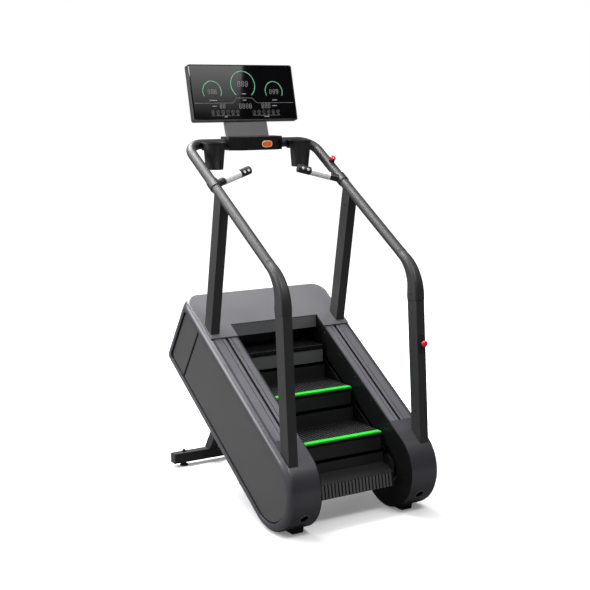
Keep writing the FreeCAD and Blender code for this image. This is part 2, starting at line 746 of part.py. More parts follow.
def chain_band(x0, x1, radius):
    edges = [
        Part.makeLine(V(x0, 0, radius), V(x0, SHAFT_GAP, radius)),
        Part.Arc(V(x0, SHAFT_GAP, radius), V(x0, SHAFT_GAP + radius, 0), V(x0, SHAFT_GAP, -radius)).toShape(),
        Part.makeLine(V(x0, SHAFT_GAP, -radius), V(x0, 0, -radius)),
        Part.Arc(V(x0, 0, -radius), V(x0, -radius, 0), V(x0, 0, radius)).toShape(),
    ]
    return Part.Face(Part.Wire(edges)).extrude(V(x1 - x0, 0, 0))


PULLEY_R = 82.0
FLY_S, FLY_N = 640.0, 20.0
FLY_R = 105.0
FLY_PULLEY_R = 22.0
BELT_IN, BELT_OUT = 306.0, 318.0
CONTROL_BACK = 352.0


def drive_pulley():
    disc = rod(V(BELT_IN, SHAFT_GAP, 0), V(BELT_OUT, SHAFT_GAP, 0), PULLEY_R)
    hub = rod(V(BELT_IN - 4, SHAFT_GAP, 0), V(BELT_OUT + 10, SHAFT_GAP, 0), 26)
    disc = fused([disc, hub])
    for i in range(5):
        a = math.radians(72 * i)
        y, z = SHAFT_GAP + 52 * math.cos(a), 52 * math.sin(a)
        disc = disc.cut(rod(V(300, y, z), V(330, y, z), 17))
    return on_slope(disc.cut(rod(V(200, SHAFT_GAP, 0), V(400, SHAFT_GAP, 0), SHAFT_R)))


def flywheel():
    """Heavy braked wheel with the small belt pulley on its hub."""
    disc = rod(V(322, FLY_S, FLY_N), V(338, FLY_S, FLY_N), FLY_R)
    groove = rod(V(320, FLY_S, FLY_N), V(326, FLY_S, FLY_N), FLY_R - 18)
    small = rod(V(BELT_IN, FLY_S, FLY_N), V(326, FLY_S, FLY_N), FLY_PULLEY_R)
    wheel = fused([disc.cut(groove), small])
    return on_slope(wheel.cut(rod(V(300, FLY_S, FLY_N), V(345, FLY_S, FLY_N), 10.05)))


def flywheel_axle():
    """Fixed axle on an upright plate from the frame rail, which also holds the brake."""
    top = FLY_N + FLY_R + 22
    plate = box(FRAME_OUT - 8, FRAME_OUT, FLY_S - 40, FLY_S + 40, FRAME_HIGH, top)
    pin = rod(V(BELT_IN - 2, FLY_S, FLY_N), V(FRAME_OUT - 4, FLY_S, FLY_N), 10)
    return on_slope(fused([plate, pin]))


def drive_belt():
    """Flat belt round the large and the small pulley."""
    gap = math.hypot(SHAFT_GAP - FLY_S, FLY_N)
    lean = math.atan2(-FLY_N, SHAFT_GAP - FLY_S)
    tilt = math.asin((PULLEY_R - FLY_PULLEY_R) / gap)

    def loop(grow, x0, x1):
        big, small = PULLEY_R + grow, FLY_PULLEY_R + grow

        def at(cs, cn, radius, angle):
            return V(x0, cs + radius * math.cos(angle), cn + radius * math.sin(angle))

        top, low = lean + math.pi / 2 + tilt, lean - math.pi / 2 - tilt
        a, b = at(FLY_S, FLY_N, small, top), at(SHAFT_GAP, 0, big, top)
        c, d = at(SHAFT_GAP, 0, big, low), at(FLY_S, FLY_N, small, low)
        edges = [
            Part.makeLine(a, b),
            Part.Arc(b, at(SHAFT_GAP, 0, big, lean), c).toShape(),
            Part.makeLine(c, d),
            Part.Arc(d, at(FLY_S, FLY_N, small, lean + math.pi), a).toShape(),
        ]
        return Part.Face(Part.Wire(edges)).extrude(V(x1 - x0, 0, 0))

    return on_slope(loop(2.4, BELT_IN + 1, BELT_OUT - 1).cut(loop(0.1, BELT_IN - 1, BELT_OUT + 1)))


def brake_magnet():
    """Magnet yoke over the flywheel's rim."""
    yoke = box(314, 346, FLY_S - 30, FLY_S + 30, FLY_N + FLY_R - 24, FLY_N + FLY_R + 22)
    slot = box(319, 341, FLY_S - 40, FLY_S + 40, FLY_N + FLY_R - 40, FLY_N + FLY_R + 6)
    stay = box(341, FRAME_OUT - 8, FLY_S - 12, FLY_S + 12, FLY_N + FLY_R - 24, FLY_N + FLY_R + 22)
    return on_slope(fused([yoke.cut(slot), stay]))


def drive_controller():
    """Sealed box for the brake and display electronics."""
    case = box(314, CONTROL_BACK, 560, 760, -60, 60)
    return on_slope(mirrored(case.makeFillet(8, long_edges(case))))


def controller_plate():
    """Upright plate on the left rail that the controller is screwed to."""
    return on_slope(box(CONTROL_BACK, FRAME_OUT, 600, 720, FRAME_HIGH, 50))


# ---------- steps ----------
def nosing_point(index):
    """(y, z) of the nosing of step index, counted from the lowest full step."""
    return slope_point(FIRST_NOSING + index * STEP_PITCH, NOSING_N)


GROOVE_COUNT = 25
GROOVE_W, GROOVE_D = 8.0, 7.0


def groove_centres():
    span = 2 * TREAD_HALF - 24
    return [-span / 2 + span * i / (GROOVE_COUNT - 1) for i in range(GROOVE_COUNT)]


def tread(index):
    """Folded step: front apron, grooved tread and upright at the back."""
    y, z = nosing_point(index)
    half = TREAD_HALF
    slab = box(-half, half, y, y + TREAD_DEPTH, z - TREAD_THICK, z)
    apron = box(-half, half, y + 4, y + 8, z - RISER_H, z - 4)
    kick = box(-half, half, y + TREAD_DEPTH - 4, y + TREAD_DEPTH, z - 4, z + KICK_H)
    grooves = []
    start = y - 1 if index == FULL_STEPS - 1 else y + 34
    for x in groove_centres():
        grooves.append(box(x - GROOVE_W / 2, x + GROOVE_W / 2, start, y + TREAD_DEPTH - 8, z - GROOVE_D, z + 1))
    return fused([slab, apron, kick]).cut(Part.makeCompound(grooves))


def nosing_strip(index):
    """Coloured edge strip laid over the front of a tread."""
    y, z = nosing_point(index)
    outline = [(y - 2.5, z - 6), (y, z - 6), (y, z), (y + 30, z), (y + 30, z + 2.5), (y - 2.5, z + 2.5)]
    return prism_x(outline, -TREAD_HALF + 4, TREAD_HALF - 4)


def step_axle(index):
    """Axle under the tread with a roller at each end, riding on the chain."""
    s = FIRST_NOSING + index * STEP_PITCH + 20
    pin = rod(V(-CHAIN_IN + 1, s, SPROCKET_R), V(CHAIN_IN - 1, s, SPROCKET_R), 8)
    lugs = [box(side * 200 - 5, side * 200 + 5, s - 6, s + 18, SPROCKET_R - 4, SPROCKET_R + 25)
            for side in (-1, 1)]
    body = on_slope(fused([pin] + lugs))
    return body.cut(Part.makeCompound([tread(index)]))


def return_tread(index):
    """Step folded flat against the run on its way back up."""
    s = 150 + index * STEP_PITCH
    slab = box(-TREAD_HALF, TREAD_HALF, s, s + TREAD_DEPTH, -SPROCKET_R - 28, -SPROCKET_R - 8)
    return on_slope(slab)


TURN_Y, TURN_Z = 66.0, 253.0


def turning_tread():
    """Lowest step rolling over the lower sprockets, grooved face to the front."""
    half = TREAD_HALF
    kick = box(-half, half, TURN_Y, TURN_Y + 4, TURN_Z - 2, TURN_Z + 48)
    ledge = prism_x([(TURN_Y + 4, TURN_Z - 6), (TURN_Y + 4, TURN_Z), (-22, TURN_Z - 32),
                     (-22, TURN_Z - 40)], -half, half)
    face = prism_x([(-22, TURN_Z - 32), (-34, 152), (-22, 148), (-8, TURN_Z - 36)], -half, half)
    flutes = [prism_x([(-27, TURN_Z - 27), (-39, 153), (-28.5, 150), (-16.5, TURN_Z - 33)],
                      x - GROOVE_W / 2, x + GROOVE_W / 2) for x in groove_centres()]
    body = fused([kick, ledge, face]).cut(Part.makeCompound(flutes))
    return body.cut(rod_x(-half - 1, half + 1, AXIS_Y, AXIS_Z, SHAFT_R))


# ---------- fasteners ----------
def adjuster():
    """Chain tension screw seen through the port in the round end."""
    head = rod(V(340, -192, 0), V(340, -182, 0), 13)
    screw = rod(V(340, -182, 0), V(340, -30, 0), 6)
    return on_slope(fused([head, screw]))


def bearing_carrier():
    """Lower bearing block pulled by the tension screw."""
    block = box(326, 350.6, -29, 40, -26, 26)
    bore = rod(V(320, 0, 0), V(360, 0, 0), SHAFT_R + 0.05)
    return on_slope(block.cut(bore))


def side_bolts():
    """Bolt heads on the inner faces of the posts and the elbow."""
    x = POST_X - POST_W / 2
    heads = []
    for z, stand_off in ((524.0, 0.0), (1112.0, 3.7)):
        y = FRONT_FACE_Y + (z - FRONT_FACE_Z) * FRONT_LEAN + POST_D / 2
        heads.append(rod(V(x - stand_off - 2.2, y, z), V(x - stand_off, y, z), 5))
    for z in (1000.0, 1060.0, 1500.0):
        y = REAR_FACE_Y + (z - REAR_FACE_Z) * REAR_LEAN + POST_D / 2
        heads.append(rod(V(x - 2.2, y, z), V(x, y, z), 4.5))
    return heads


def fasteners():
    """Tension screws, lock nuts and the bolt heads on the posts."""
    heads = side_bolts()
    screws = [adjuster()]
    return group(heads + screws + [mirrored(b) for b in heads + screws] + lock_nuts())


def pair(shape):
    return group([shape, mirrored(shape)])


def make_frame():
    put("frame_rail_right", fused([frame_weldment(), flywheel_axle()]))
    put("frame_rail_left", mirrored(fused([frame_weldment(), controller_plate()])))
    put("cross_tubes", group([cross_tube(s) for s in CROSS_S]))
    put("rear_stand", fused([leg(), mirrored(leg()), floor_bar()]))
    put("floor_bar_caps", pair(bar_cap()))
    put("levelling_feet", pair(levelling_foot()))
    put("front_feet", pair(front_foot()))
    put("bearings", pair(group([bearing(SHAFT_GAP), bearing_carrier()])))
    put("fasteners", fasteners())


def make_housings():
    put_pair("housing_shell", housing_shell())
    put_pair("inner_wall", inner_wall())
    put_pair("side_cover", side_cover())
    put("side_panels", pair(side_panel()))
    put("rib_strips", pair(rib_strip()))
    put("hood", hood())
    put("rear_panel", rear_panel())
    put("belly_pan", belly_pan())


def make_upper_body():
    elbow_body, rail_start = elbow()
    put_pair("front_post", hollow_front_post())
    put_pair("rear_post", hollow_rear_post())
    put_pair("elbow", elbow_body)
    put_pair("handrail", rail_half(rail_start - RAIL_DIR * 29))
    put("crossbar", crossbar())
    put_pair("cup_holder", cup_holder())
    put("control_box", fused([control_box(), stop_bezel()]))
    put("stop_button", stop_button())
    put("console_shell", fused([console_back(), console_bezel()]))
    put("console_glass", console_glass())
    put("console_bracket", console_bracket())
    put("grip_arms", pair(grip_arm()))
    put("grip_plates", pair(grip_plates()))
    put("grip_ends", pair(grip_end()))
    for i, pos in enumerate(GRIP_BUTTONS):
        put_pair("grip_button_" + str(i + 1), grip_button(pos))
    put("emergency_bases", group([rail_stop_base(), post_stop_base()]))
    put("emergency_knob_rail", rail_stop_knob())
    put("emergency_knob_post", post_stop_knob())


def make_drive():
    put("lower_shaft", group([shaft(0, 350), sprockets(0)]))
    put("upper_shaft", group([shaft(SHAFT_GAP, FRAME_OUT + 2), sprockets(SHAFT_GAP), drive_pulley()]))
    put("chains", pair(chain()))
    put("drive_belt", drive_belt())
    put("flywheel", flywheel())
    put("brake_magnet", brake_magnet())
    put("drive_controller", drive_controller())


def make_steps():
    for i in range(FULL_STEPS):
        put("step_" + str(i + 1), tread(i))
    put("step_axles", group([step_axle(i) for i in range(FULL_STEPS)]))
    put("nosing_strips", group([nosing_strip(i) for i in (0, 1)]))
    put("turning_step", turning_tread())
    put("returning_steps", group([return_tread(i) for i in range(3)]))


def main():
    os.makedirs("parts", exist_ok=True)
    make_frame()
    make_housings()
    make_upper_body()
    make_drive()
    make_steps()


if __name__ == "__main__":
    main()
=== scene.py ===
import bmesh
import bpy
import json
import math
from mathutils import Matrix, Vector

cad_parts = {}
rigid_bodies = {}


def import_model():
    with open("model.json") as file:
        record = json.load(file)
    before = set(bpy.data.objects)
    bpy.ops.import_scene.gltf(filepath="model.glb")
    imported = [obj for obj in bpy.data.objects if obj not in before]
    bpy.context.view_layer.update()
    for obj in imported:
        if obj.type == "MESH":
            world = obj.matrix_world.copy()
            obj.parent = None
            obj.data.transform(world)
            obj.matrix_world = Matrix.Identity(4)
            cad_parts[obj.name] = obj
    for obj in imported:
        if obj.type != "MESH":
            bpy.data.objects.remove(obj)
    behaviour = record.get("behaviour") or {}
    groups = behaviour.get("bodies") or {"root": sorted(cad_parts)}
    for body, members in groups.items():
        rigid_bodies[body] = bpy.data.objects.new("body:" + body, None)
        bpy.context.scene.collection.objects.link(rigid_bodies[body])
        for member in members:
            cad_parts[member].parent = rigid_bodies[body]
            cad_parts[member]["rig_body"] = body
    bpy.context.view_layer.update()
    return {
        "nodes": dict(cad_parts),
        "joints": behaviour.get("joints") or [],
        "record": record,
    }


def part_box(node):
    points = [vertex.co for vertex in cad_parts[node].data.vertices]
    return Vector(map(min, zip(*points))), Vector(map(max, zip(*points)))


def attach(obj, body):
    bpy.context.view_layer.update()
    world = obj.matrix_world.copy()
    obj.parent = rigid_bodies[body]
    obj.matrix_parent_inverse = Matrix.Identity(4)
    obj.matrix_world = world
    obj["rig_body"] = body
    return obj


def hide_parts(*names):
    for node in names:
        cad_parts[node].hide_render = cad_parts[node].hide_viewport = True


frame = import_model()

# ------------------------------------------------------------------ camera, light and floor
# A long lens at standing height, a little to the left of the machine. A white studio with
# a big soft lamp above and behind, a weaker one on the left and a small one above the front.
scene = bpy.context.scene
camera_data = bpy.data.cameras.new("camera")
camera = bpy.data.objects.new("camera", camera_data)
scene.collection.objects.link(camera)
scene.camera = camera
camera_data.sensor_width = 36.0
camera_data.lens = 75.7
camera.location = (-3.331, -5.361, 2.105)
swing, lift = math.radians(-32.073), math.radians(9.57)
backward = Vector((math.sin(swing) * math.cos(lift), -math.cos(swing) * math.cos(lift), math.sin(lift)))
camera.rotation_euler = backward.to_track_quat("Z", "Y").to_euler()
scene.view_settings.view_transform = "Standard"
scene.view_settings.look = "None"

world = bpy.data.worlds.new("studio")
scene.world = world
world.use_nodes = True
sky_nodes, sky_links = world.node_tree.nodes, world.node_tree.links
sky = sky_nodes["Background"]
direction = sky_nodes.new("ShaderNodeTexCoord")
towards = sky_nodes.new("ShaderNodeVectorMath")
towards.operation = "DOT_PRODUCT"
towards.inputs[1].default_value = Vector((-0.42, 0.34, 0.84)).normalized()
sky_ramp = sky_nodes.new("ShaderNodeValToRGB")
sky_ramp.color_ramp.elements[0].position = 0.10
sky_ramp.color_ramp.elements[0].color = (0.035, 0.035, 0.037, 1.0)
sky_ramp.color_ramp.elements[1].position = 0.95
sky_ramp.color_ramp.elements[1].color = (1.3, 1.3, 1.32, 1.0)
sky_links.new(direction.outputs["Generated"], towards.inputs[0])
sky_links.new(towards.outputs["Value"], sky_ramp.inputs["Fac"])
rays = sky_nodes.new("ShaderNodeLightPath")
seen = sky_nodes.new("ShaderNodeMix")
seen.data_type = "RGBA"
seen.inputs[7].default_value = (1.0, 1.0, 1.0, 1.0)
sky_links.new(rays.outputs["Is Camera Ray"], seen.inputs[0])
sky_links.new(sky_ramp.outputs["Color"], seen.inputs[6])
sky_links.new(seen.outputs[2], sky.inputs["Color"])


def soft_box(name, location, target, width, height, power):
    """Rectangular studio lamp turned towards a point."""
    data = bpy.data.lights.new(name, "AREA")
    data.shape = "RECTANGLE"
    data.size, data.size_y = width, height
    data.energy = power
    lamp = bpy.data.objects.new(name, data)
    lamp.location = location
    lamp.rotation_euler = (Vector(location) - Vector(target)).to_track_quat("Z", "Y").to_euler()
    scene.collection.objects.link(lamp)


soft_box("overhead", (-0.8, 2.2, 4.8), (0, 0.1, 0.5), 3.4, 2.6, 520)
soft_box("left_side", (-4.4, 2.2, 3.0), (0, 0.2, 0.9), 2.0, 2.6, 150)
soft_box("front_top", (0.6, -3.2, 4.6), (0, 0, 0.6), 1.6, 1.2, 120)

floor_mesh = bpy.data.meshes.new("floor")
floor_mesh.from_pydata([(-40, -40, 0), (40, -40, 0), (40, 40, 0), (-40, 40, 0)], [], [(0, 1, 2, 3)])
floor = bpy.data.objects.new("floor", floor_mesh)
scene.collection.objects.link(floor)
floor_paint = bpy.data.materials.new("studio_floor")
floor_paint.use_nodes = True
floor_shader = floor_paint.node_tree.nodes["Principled BSDF"]
floor_shader.inputs["Roughness"].default_value = 0.6
floor_shader.inputs["Specular IOR Level"].default_value = 0.1
floor_shader.inputs["Emission Color"].default_value = (1.0, 1.0, 1.0, 1.0)
floor_nodes, floor_links = floor_paint.node_tree.nodes, floor_paint.node_tree.links
floor_rays = floor_nodes.new("ShaderNodeLightPath")
for socket, unseen, shown in (("Base Color", 0.16, 0.86), ("Emission Strength", 0.0, 0.52)):
    level = floor_nodes.new("ShaderNodeMapRange")
    level.inputs["To Min"].default_value = unseen
    level.inputs["To Max"].default_value = shown
    floor_links.new(floor_rays.outputs["Is Camera Ray"], level.inputs["Value"])
    floor_links.new(level.outputs["Result"], floor_shader.inputs[socket])
# Seen from the camera, the floor glows less near the machine and more out to 3 m away: a painted shadow
# pool round the machine.
floor_place = floor_nodes.new("ShaderNodeTexCoord")
painted_shadow_reach = floor_nodes.new("ShaderNodeVectorMath")
painted_shadow_reach.operation = "LENGTH"
painted_floor_shadow = floor_nodes.new("ShaderNodeMapRange")
for socket, value in (("From Min", 0.4), ("From Max", 3.0), ("To Min", 0.14), ("To Max", 0.50)):
    painted_floor_shadow.inputs[socket].default_value = value
floor_links.new(floor_place.outputs["Object"], painted_shadow_reach.inputs[0])
floor_links.new(painted_shadow_reach.outputs["Value"], painted_floor_shadow.inputs["Value"])
floor_links.new(painted_floor_shadow.outputs["Result"], level.inputs["To Max"])
floor_mesh.materials.append(floor_paint)

# ------------------------------------------------------------------ welded frame and floor stand
# Box-section steel rails, cross tubes and the T-shaped stand, welded and powder coated
# black in one go. The coat has a fine orange-peel grain and slightly rounded edges.


def finish(name, colour, rough, metal=0.0, grain=900.0, bump=0.05, mottle=0.12, spread=0.06, coat=0.0,
           scuff=0.08, shine=0.5):
    """A surface finish: base colour with soft mottling and scuffs, uneven gloss and a fine bump."""
    material = bpy.data.materials.new(name)
    material.use_nodes = True
    nodes, links = material.node_tree.nodes, material.node_tree.links
    shader = nodes["Principled BSDF"]
    shader.inputs["Metallic"].default_value = metal
    shader.inputs["Specular IOR Level"].default_value = shine
    shader.inputs["Coat Weight"].default_value = coat
    shader.inputs["Coat Roughness"].default_value = 0.08
    place = nodes.new("ShaderNodeTexCoord")

    def noise(scale, detail):
        texture = nodes.new("ShaderNodeTexNoise")
        texture.inputs["Scale"].default_value = scale
        texture.inputs["Detail"].default_value = detail
        links.new(place.outputs["Object"], texture.inputs["Vector"])
        return texture.outputs["Fac"]

    cloud, rub, peel = noise(7.0, 5.0), noise(60.0, 9.0), noise(grain, 3.0)
    tint = nodes.new("ShaderNodeMix")
    tint.data_type = "RGBA"
    tint.inputs[6].default_value = (*[c * (1.0 - mottle) for c in colour], 1.0)
    tint.inputs[7].default_value = (*[min(1.0, c * (1.0 + mottle)) for c in colour], 1.0)
    links.new(cloud, tint.inputs[0])
    worn = nodes.new("ShaderNodeMapRange")
    worn.inputs["From Min"].default_value = 0.6
    worn.inputs["From Max"].default_value = 0.8
    worn.inputs["To Max"].default_value = scuff
    links.new(rub, worn.inputs["Value"])
    paler = nodes.new("ShaderNodeMix")
    paler.data_type = "RGBA"
    paler.inputs[7].default_value = (*[min(1.0, c * 1.5 + 0.05) for c in colour], 1.0)
    links.new(worn.outputs["Result"], paler.inputs[0])
    links.new(tint.outputs[2], paler.inputs[6])
    links.new(paler.outputs[2], shader.inputs["Base Color"])
    gloss = nodes.new("ShaderNodeMapRange")
    gloss.inputs["To Min"].default_value = max(0.02, rough - spread)
    gloss.inputs["To Max"].default_value = min(1.0, rough + spread)
    links.new(cloud, gloss.inputs["Value"])
    dulled = nodes.new("ShaderNodeMath")
    links.new(gloss.outputs["Result"], dulled.inputs[0])
    links.new(worn.outputs["Result"], dulled.inputs[1])
    links.new(dulled.outputs["Value"], shader.inputs["Roughness"])
    relief = nodes.new("ShaderNodeBump")
    relief.inputs["Strength"].default_value = bump
    relief.inputs["Distance"].default_value = 0.0005
    links.new(peel, relief.inputs["Height"])
    links.new(relief.outputs["Normal"], shader.inputs["Normal"])
    return material


def body_of(node):
    """The body that a node rides on."""
    return frame["nodes"][node]["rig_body"]


def piece(mesh_data, name, body, material, stands_for=()):
    """Puts a finished mesh in the scene on its body."""
    thing = bpy.data.objects.new(name, mesh_data)
    scene.collection.objects.link(thing)
    mesh_data.materials.clear()
    mesh_data.materials.append(material)
    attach(thing, body)
    if stands_for:
        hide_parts(*stands_for)
    return thing


def baked(holder):
    """The plain mesh that an object's modifiers give; the object is then removed."""
    bpy.context.view_layer.update()
    graph = bpy.context.evaluated_depsgraph_get()
    mesh_data = bpy.data.meshes.new_from_object(holder.evaluated_get(graph))
    bpy.data.objects.remove(holder)
    return mesh_data


def shaded(shape, name, sharp):
    """Turns a shape into a mesh whose flat faces shade flat and whose eased edges shade round."""
    mesh_data = bpy.data.meshes.new(name)
    shape.to_mesh(mesh_data)
    shape.free()
    mesh_data.shade_smooth()
    mesh_data.set_sharp_from_angle(angle=math.radians(sharp))
    holder = bpy.data.objects.new(name, mesh_data)
    scene.collection.objects.link(holder)
    weigh = holder.modifiers.new("weigh", "WEIGHTED_NORMAL")
    weigh.keep_sharp = True
    weigh.weight = 100
    return baked(holder)


def eased(node, material, radius=0.0015, segments=2, sharp=32.0, name=""):
    """The node's own shape with its edges rounded as a real edge is."""
    shape = bmesh.new()
    shape.from_mesh(frame["nodes"][node].data)
    bmesh.ops.remove_doubles(shape, verts=shape.verts, dist=0.00002)
    bmesh.ops.dissolve_limit(shape, angle_limit=math.radians(1.0), verts=shape.verts, edges=shape.edges)
    if radius > 0:
        edges = [e for e in shape.edges if e.is_manifold and e.calc_face_angle(0) > math.radians(sharp)]
        bmesh.ops.bevel(shape, geom=edges, offset=radius, segments=segments, profile=0.5,
                        affect="EDGES", clamp_overlap=True)
    bmesh.ops.triangulate(shape, faces=[f for f in shape.faces if len(f.verts) > 4])
    mesh_data = shaded(shape, node, sharp)
    return piece(mesh_data, name or node + "_shape", body_of(node), material, [node])


def shade_sunk_faces(thing, paint, level, depth):
    """Gives a second paint to every face that lies deeper than the outermost surface, as painted shade in
    the recesses.
    """
    thing.data.materials.append(paint)
    heights = [level(face.center) for face in thing.data.polygons]
    outermost = max(heights)
    for face, height in zip(thing.data.polygons, heights):
        if height < outermost - depth:
            face.material_index = 1


powder_black = finish("powder_black", (0.012, 0.012, 0.013), 0.46, grain=1400, bump=0.12)
for node in ("frame_rail_left", "frame_rail_right", "cross_tubes", "rear_stand"):
    eased(node, powder_black, 0.002)

# ------------------------------------------------------------------ feet and caps
# Moulded rubber blocks under the round ends, screwed levelling feet under the floor bar
# and push-in plastic caps in the bar's open ends.
rubber_black = finish("rubber_black", (0.012, 0.012, 0.012), 0.72, grain=2200, bump=0.2)
eased("front_feet", rubber_black, 0.004, 3)
eased("levelling_feet", rubber_black, 0.0015)
moulded_black = finish("moulded_black", (0.010, 0.010, 0.011), 0.4, grain=2600, bump=0.08)
eased("floor_bar_caps", moulded_black, 0.002)

# ------------------------------------------------------------------ shafts and bearings
# Turned steel shafts with laser-cut sprockets, shields in the walls' round openings and a
# webbed drive pulley on the upper one, running in pressed-in bearings.
turned_steel = finish("turned_steel", (0.36, 0.36, 0.37), 0.32, metal=1.0, grain=500, bump=0.06, scuff=0.12)
dark_oxide = finish("dark_oxide", (0.05, 0.05, 0.052), 0.45, metal=0.8, grain=500, bump=0.06)
eased("lower_shaft", dark_oxide, 0.0005, 1)
eased("upper_shaft", dark_oxide, 0.0005, 1)
eased("bearings", turned_steel, 0.0008)

# ------------------------------------------------------------------ roller chains
# Two steel roller chains, one each side. Every link pair has two inner and two outer side
# plates and two rollers, copied round the loop.


def add_box(shape, low, high, ease=0.0):
    """Adds a block between two corners, with eased edges where asked."""
    middle = (Vector(low) + Vector(high)) / 2
    size = Vector(high) - Vector(low)
    spot = Matrix.Translation(middle) @ Matrix.Diagonal((*size, 1.0))
    made = bmesh.ops.create_cube(shape, size=1.0, matrix=spot)["verts"]
    if ease > 0:
        edges = list({e for v in made for e in v.link_edges})
        bmesh.ops.bevel(shape, geom=edges, offset=ease, segments=2, profile=0.5, affect="EDGES",
                        clamp_overlap=True)


def add_pin(shape, start, end, radius, sides):
    """Adds a closed round bar between two points."""
    start, end = Vector(start), Vector(end)
    turn = (end - start).to_track_quat("Z", "Y").to_matrix().to_4x4()
    spot = Matrix.Translation((start + end) / 2) @ turn
    bmesh.ops.create_cone(shape, cap_ends=True, segments=sides, radius1=radius, radius2=radius,
                          depth=(end - start).length, matrix=spot)


def to_mesh(shape, name, sharp=35.0):
    """Turns a drawn shape into a mesh with its faces outward."""
    bmesh.ops.recalc_face_normals(shape, faces=shape.faces)
    return shaded(shape, name, sharp)


def set_input(modifier, tree, name, value):
    """Sets a node tree's named input on the modifier that runs it."""
    for item in tree.interface.items_tree:
        if item.item_type == "SOCKET" and item.in_out == "INPUT" and item.name == name:
            modifier[item.identifier] = value


def loop_tree():
    """Copies a link round the closed line that the object carries."""
    tree = bpy.data.node_groups.new("link_loop", "GeometryNodeTree")
    tree.interface.new_socket("Line", in_out="INPUT", socket_type="NodeSocketGeometry")
    tree.interface.new_socket("Count", in_out="INPUT", socket_type="NodeSocketInt")
    tree.interface.new_socket("Link", in_out="INPUT", socket_type="NodeSocketObject")
    tree.interface.new_socket("Material", in_out="INPUT", socket_type="NodeSocketMaterial")
    tree.interface.new_socket("Links", in_out="OUTPUT", socket_type="NodeSocketGeometry")
    put = tree.nodes.new
    start, end = put("NodeGroupInput"), put("NodeGroupOutput")
    curve, spaced = put("GeometryNodeMeshToCurve"), put("GeometryNodeResampleCurve")
    tangent, turn = put("GeometryNodeInputTangent"), put("FunctionNodeAlignRotationToVector")
    source, spread = put("GeometryNodeObjectInfo"), put("GeometryNodeInstanceOnPoints")
    real, paint = put("GeometryNodeRealizeInstances"), put("GeometryNodeSetMaterial")
    turn.axis, turn.pivot_axis = "Y", "X"
    join = tree.links.new
    join(start.outputs["Line"], curve.inputs["Mesh"])
    join(curve.outputs["Curve"], spaced.inputs["Curve"])
    join(start.outputs["Count"], spaced.inputs["Count"])
    join(spaced.outputs["Curve"], spread.inputs["Points"])
    join(start.outputs["Link"], source.inputs["Object"])
    join(source.outputs["Geometry"], spread.inputs["Instance"])
    join(tangent.outputs["Tangent"], turn.inputs["Vector"])
    join(turn.outputs["Rotation"], spread.inputs["Rotation"])
    join(spread.outputs["Instances"], real.inputs["Geometry"])
    join(real.outputs["Geometry"], paint.inputs["Geometry"])
    join(start.outputs["Material"], paint.inputs["Material"])
    join(paint.outputs["Geometry"], end.inputs["Links"])
    return tree


def joint_at(name):
    """The place of a joint in the rest pose."""
    return Vector(next(j["pos_m"] for j in frame["joints"] if j["name"] == name))


lower_axis, upper_axis = joint_at("lower_roll_turn"), joint_at("upper_roll_turn")
up_slope = (upper_axis - lower_axis).normalized()
off_slope = Vector((0, -up_slope.z, up_slope.y))
chain_lane, pitch_radius = 0.286, 0.075
link_pairs = 68
link_length = (2 * (upper_axis - lower_axis).length + 2 * math.pi * pitch_radius) / link_pairs

inner_inset, outer_inset, plate_thick = 0.0068, 0.0088, 0.0016
plate_end, plate_half, plate_round = 0.006, 0.0065, 0.0045
roller_half, roller_radius = 0.0064, 0.0055
rivet_half, rivet_radius = 0.0112, 0.0025

link = bmesh.new()
for side in (-1, 1):
    half = link_length / 4
    for reach, inset in ((half, inner_inset), (-half, outer_inset)):
        x0, x1 = sorted((side * inset, side * (inset + plate_thick)))
        low_corner = (x0, reach - half - plate_end, -plate_half)
        high_corner = (x1, reach + half + plate_end, plate_half)
        add_box(link, low_corner, high_corner, plate_round)
for spot in (0.0, link_length / 2):
    add_pin(link, (-roller_half, spot, 0), (roller_half, spot, 0), roller_radius, 12)
    add_pin(link, (-rivet_half, spot, 0), (rivet_half, spot, 0), rivet_radius, 8)
link_object = bpy.data.objects.new("link_pattern", to_mesh(link, "link_pattern"))
scene.collection.objects.link(link_object)
link_tree = loop_tree()
oiled_steel = finish("oiled_steel", (0.16, 0.155, 0.15), 0.38, metal=1.0, grain=700, bump=0.05, scuff=0.1)


def chain_mesh(lane):
    """Closed loop of links over both sprockets, in one lane."""
    turns = 20
    points = []
    for centre, first in ((upper_axis, 90), (lower_axis, 270)):
        for i in range(turns + 1):
            angle = math.radians(first - 180.0 * i / turns)
            around = up_slope * math.cos(angle) + off_slope * math.sin(angle)
            points.append(Vector((lane, centre.y, centre.z)) + around * pitch_radius)
    line = bpy.data.meshes.new("chain_line")
    count = len(points)
    line.from_pydata(points, [(i, (i + 1) % count) for i in range(count)], [])
    holder = bpy.data.objects.new("chain_line", line)
    scene.collection.objects.link(holder)
    modifier = holder.modifiers.new("links", "NODES")
    modifier.node_group = link_tree
    set_input(modifier, link_tree, "Count", link_pairs)
    set_input(modifier, link_tree, "Link", link_object)
    set_input(modifier, link_tree, "Material", oiled_steel)
    return baked(holder)


piece(chain_mesh(-chain_lane), "chain_left", "machine", oiled_steel, ["chains"])
piece(chain_mesh(chain_lane), "chain_right", "machine", oiled_steel, ["chains"])
bpy.data.objects.remove(link_object)

# ------------------------------------------------------------------ belt, flywheel and brake
# A ribbed rubber belt drives a turned cast iron flywheel, which a magnet yoke brakes. The
# electronics sit in a sealed moulded box on the left rail.
eased("drive_belt", rubber_black, 0.0004, 1)
cast_iron = finish("cast_iron", (0.11, 0.11, 0.115), 0.42, metal=0.9, grain=260, bump=0.15)
eased("flywheel", cast_iron, 0.001)
eased("brake_magnet", moulded_black, 0.001)
eased("drive_controller", moulded_black, 0.001)

# ------------------------------------------------------------------ moving steps
# Each step is a folded apron and riser round a ribbed black plastic tread. The ribs run
# from front to back; the two lower full steps carry a green edge strip.


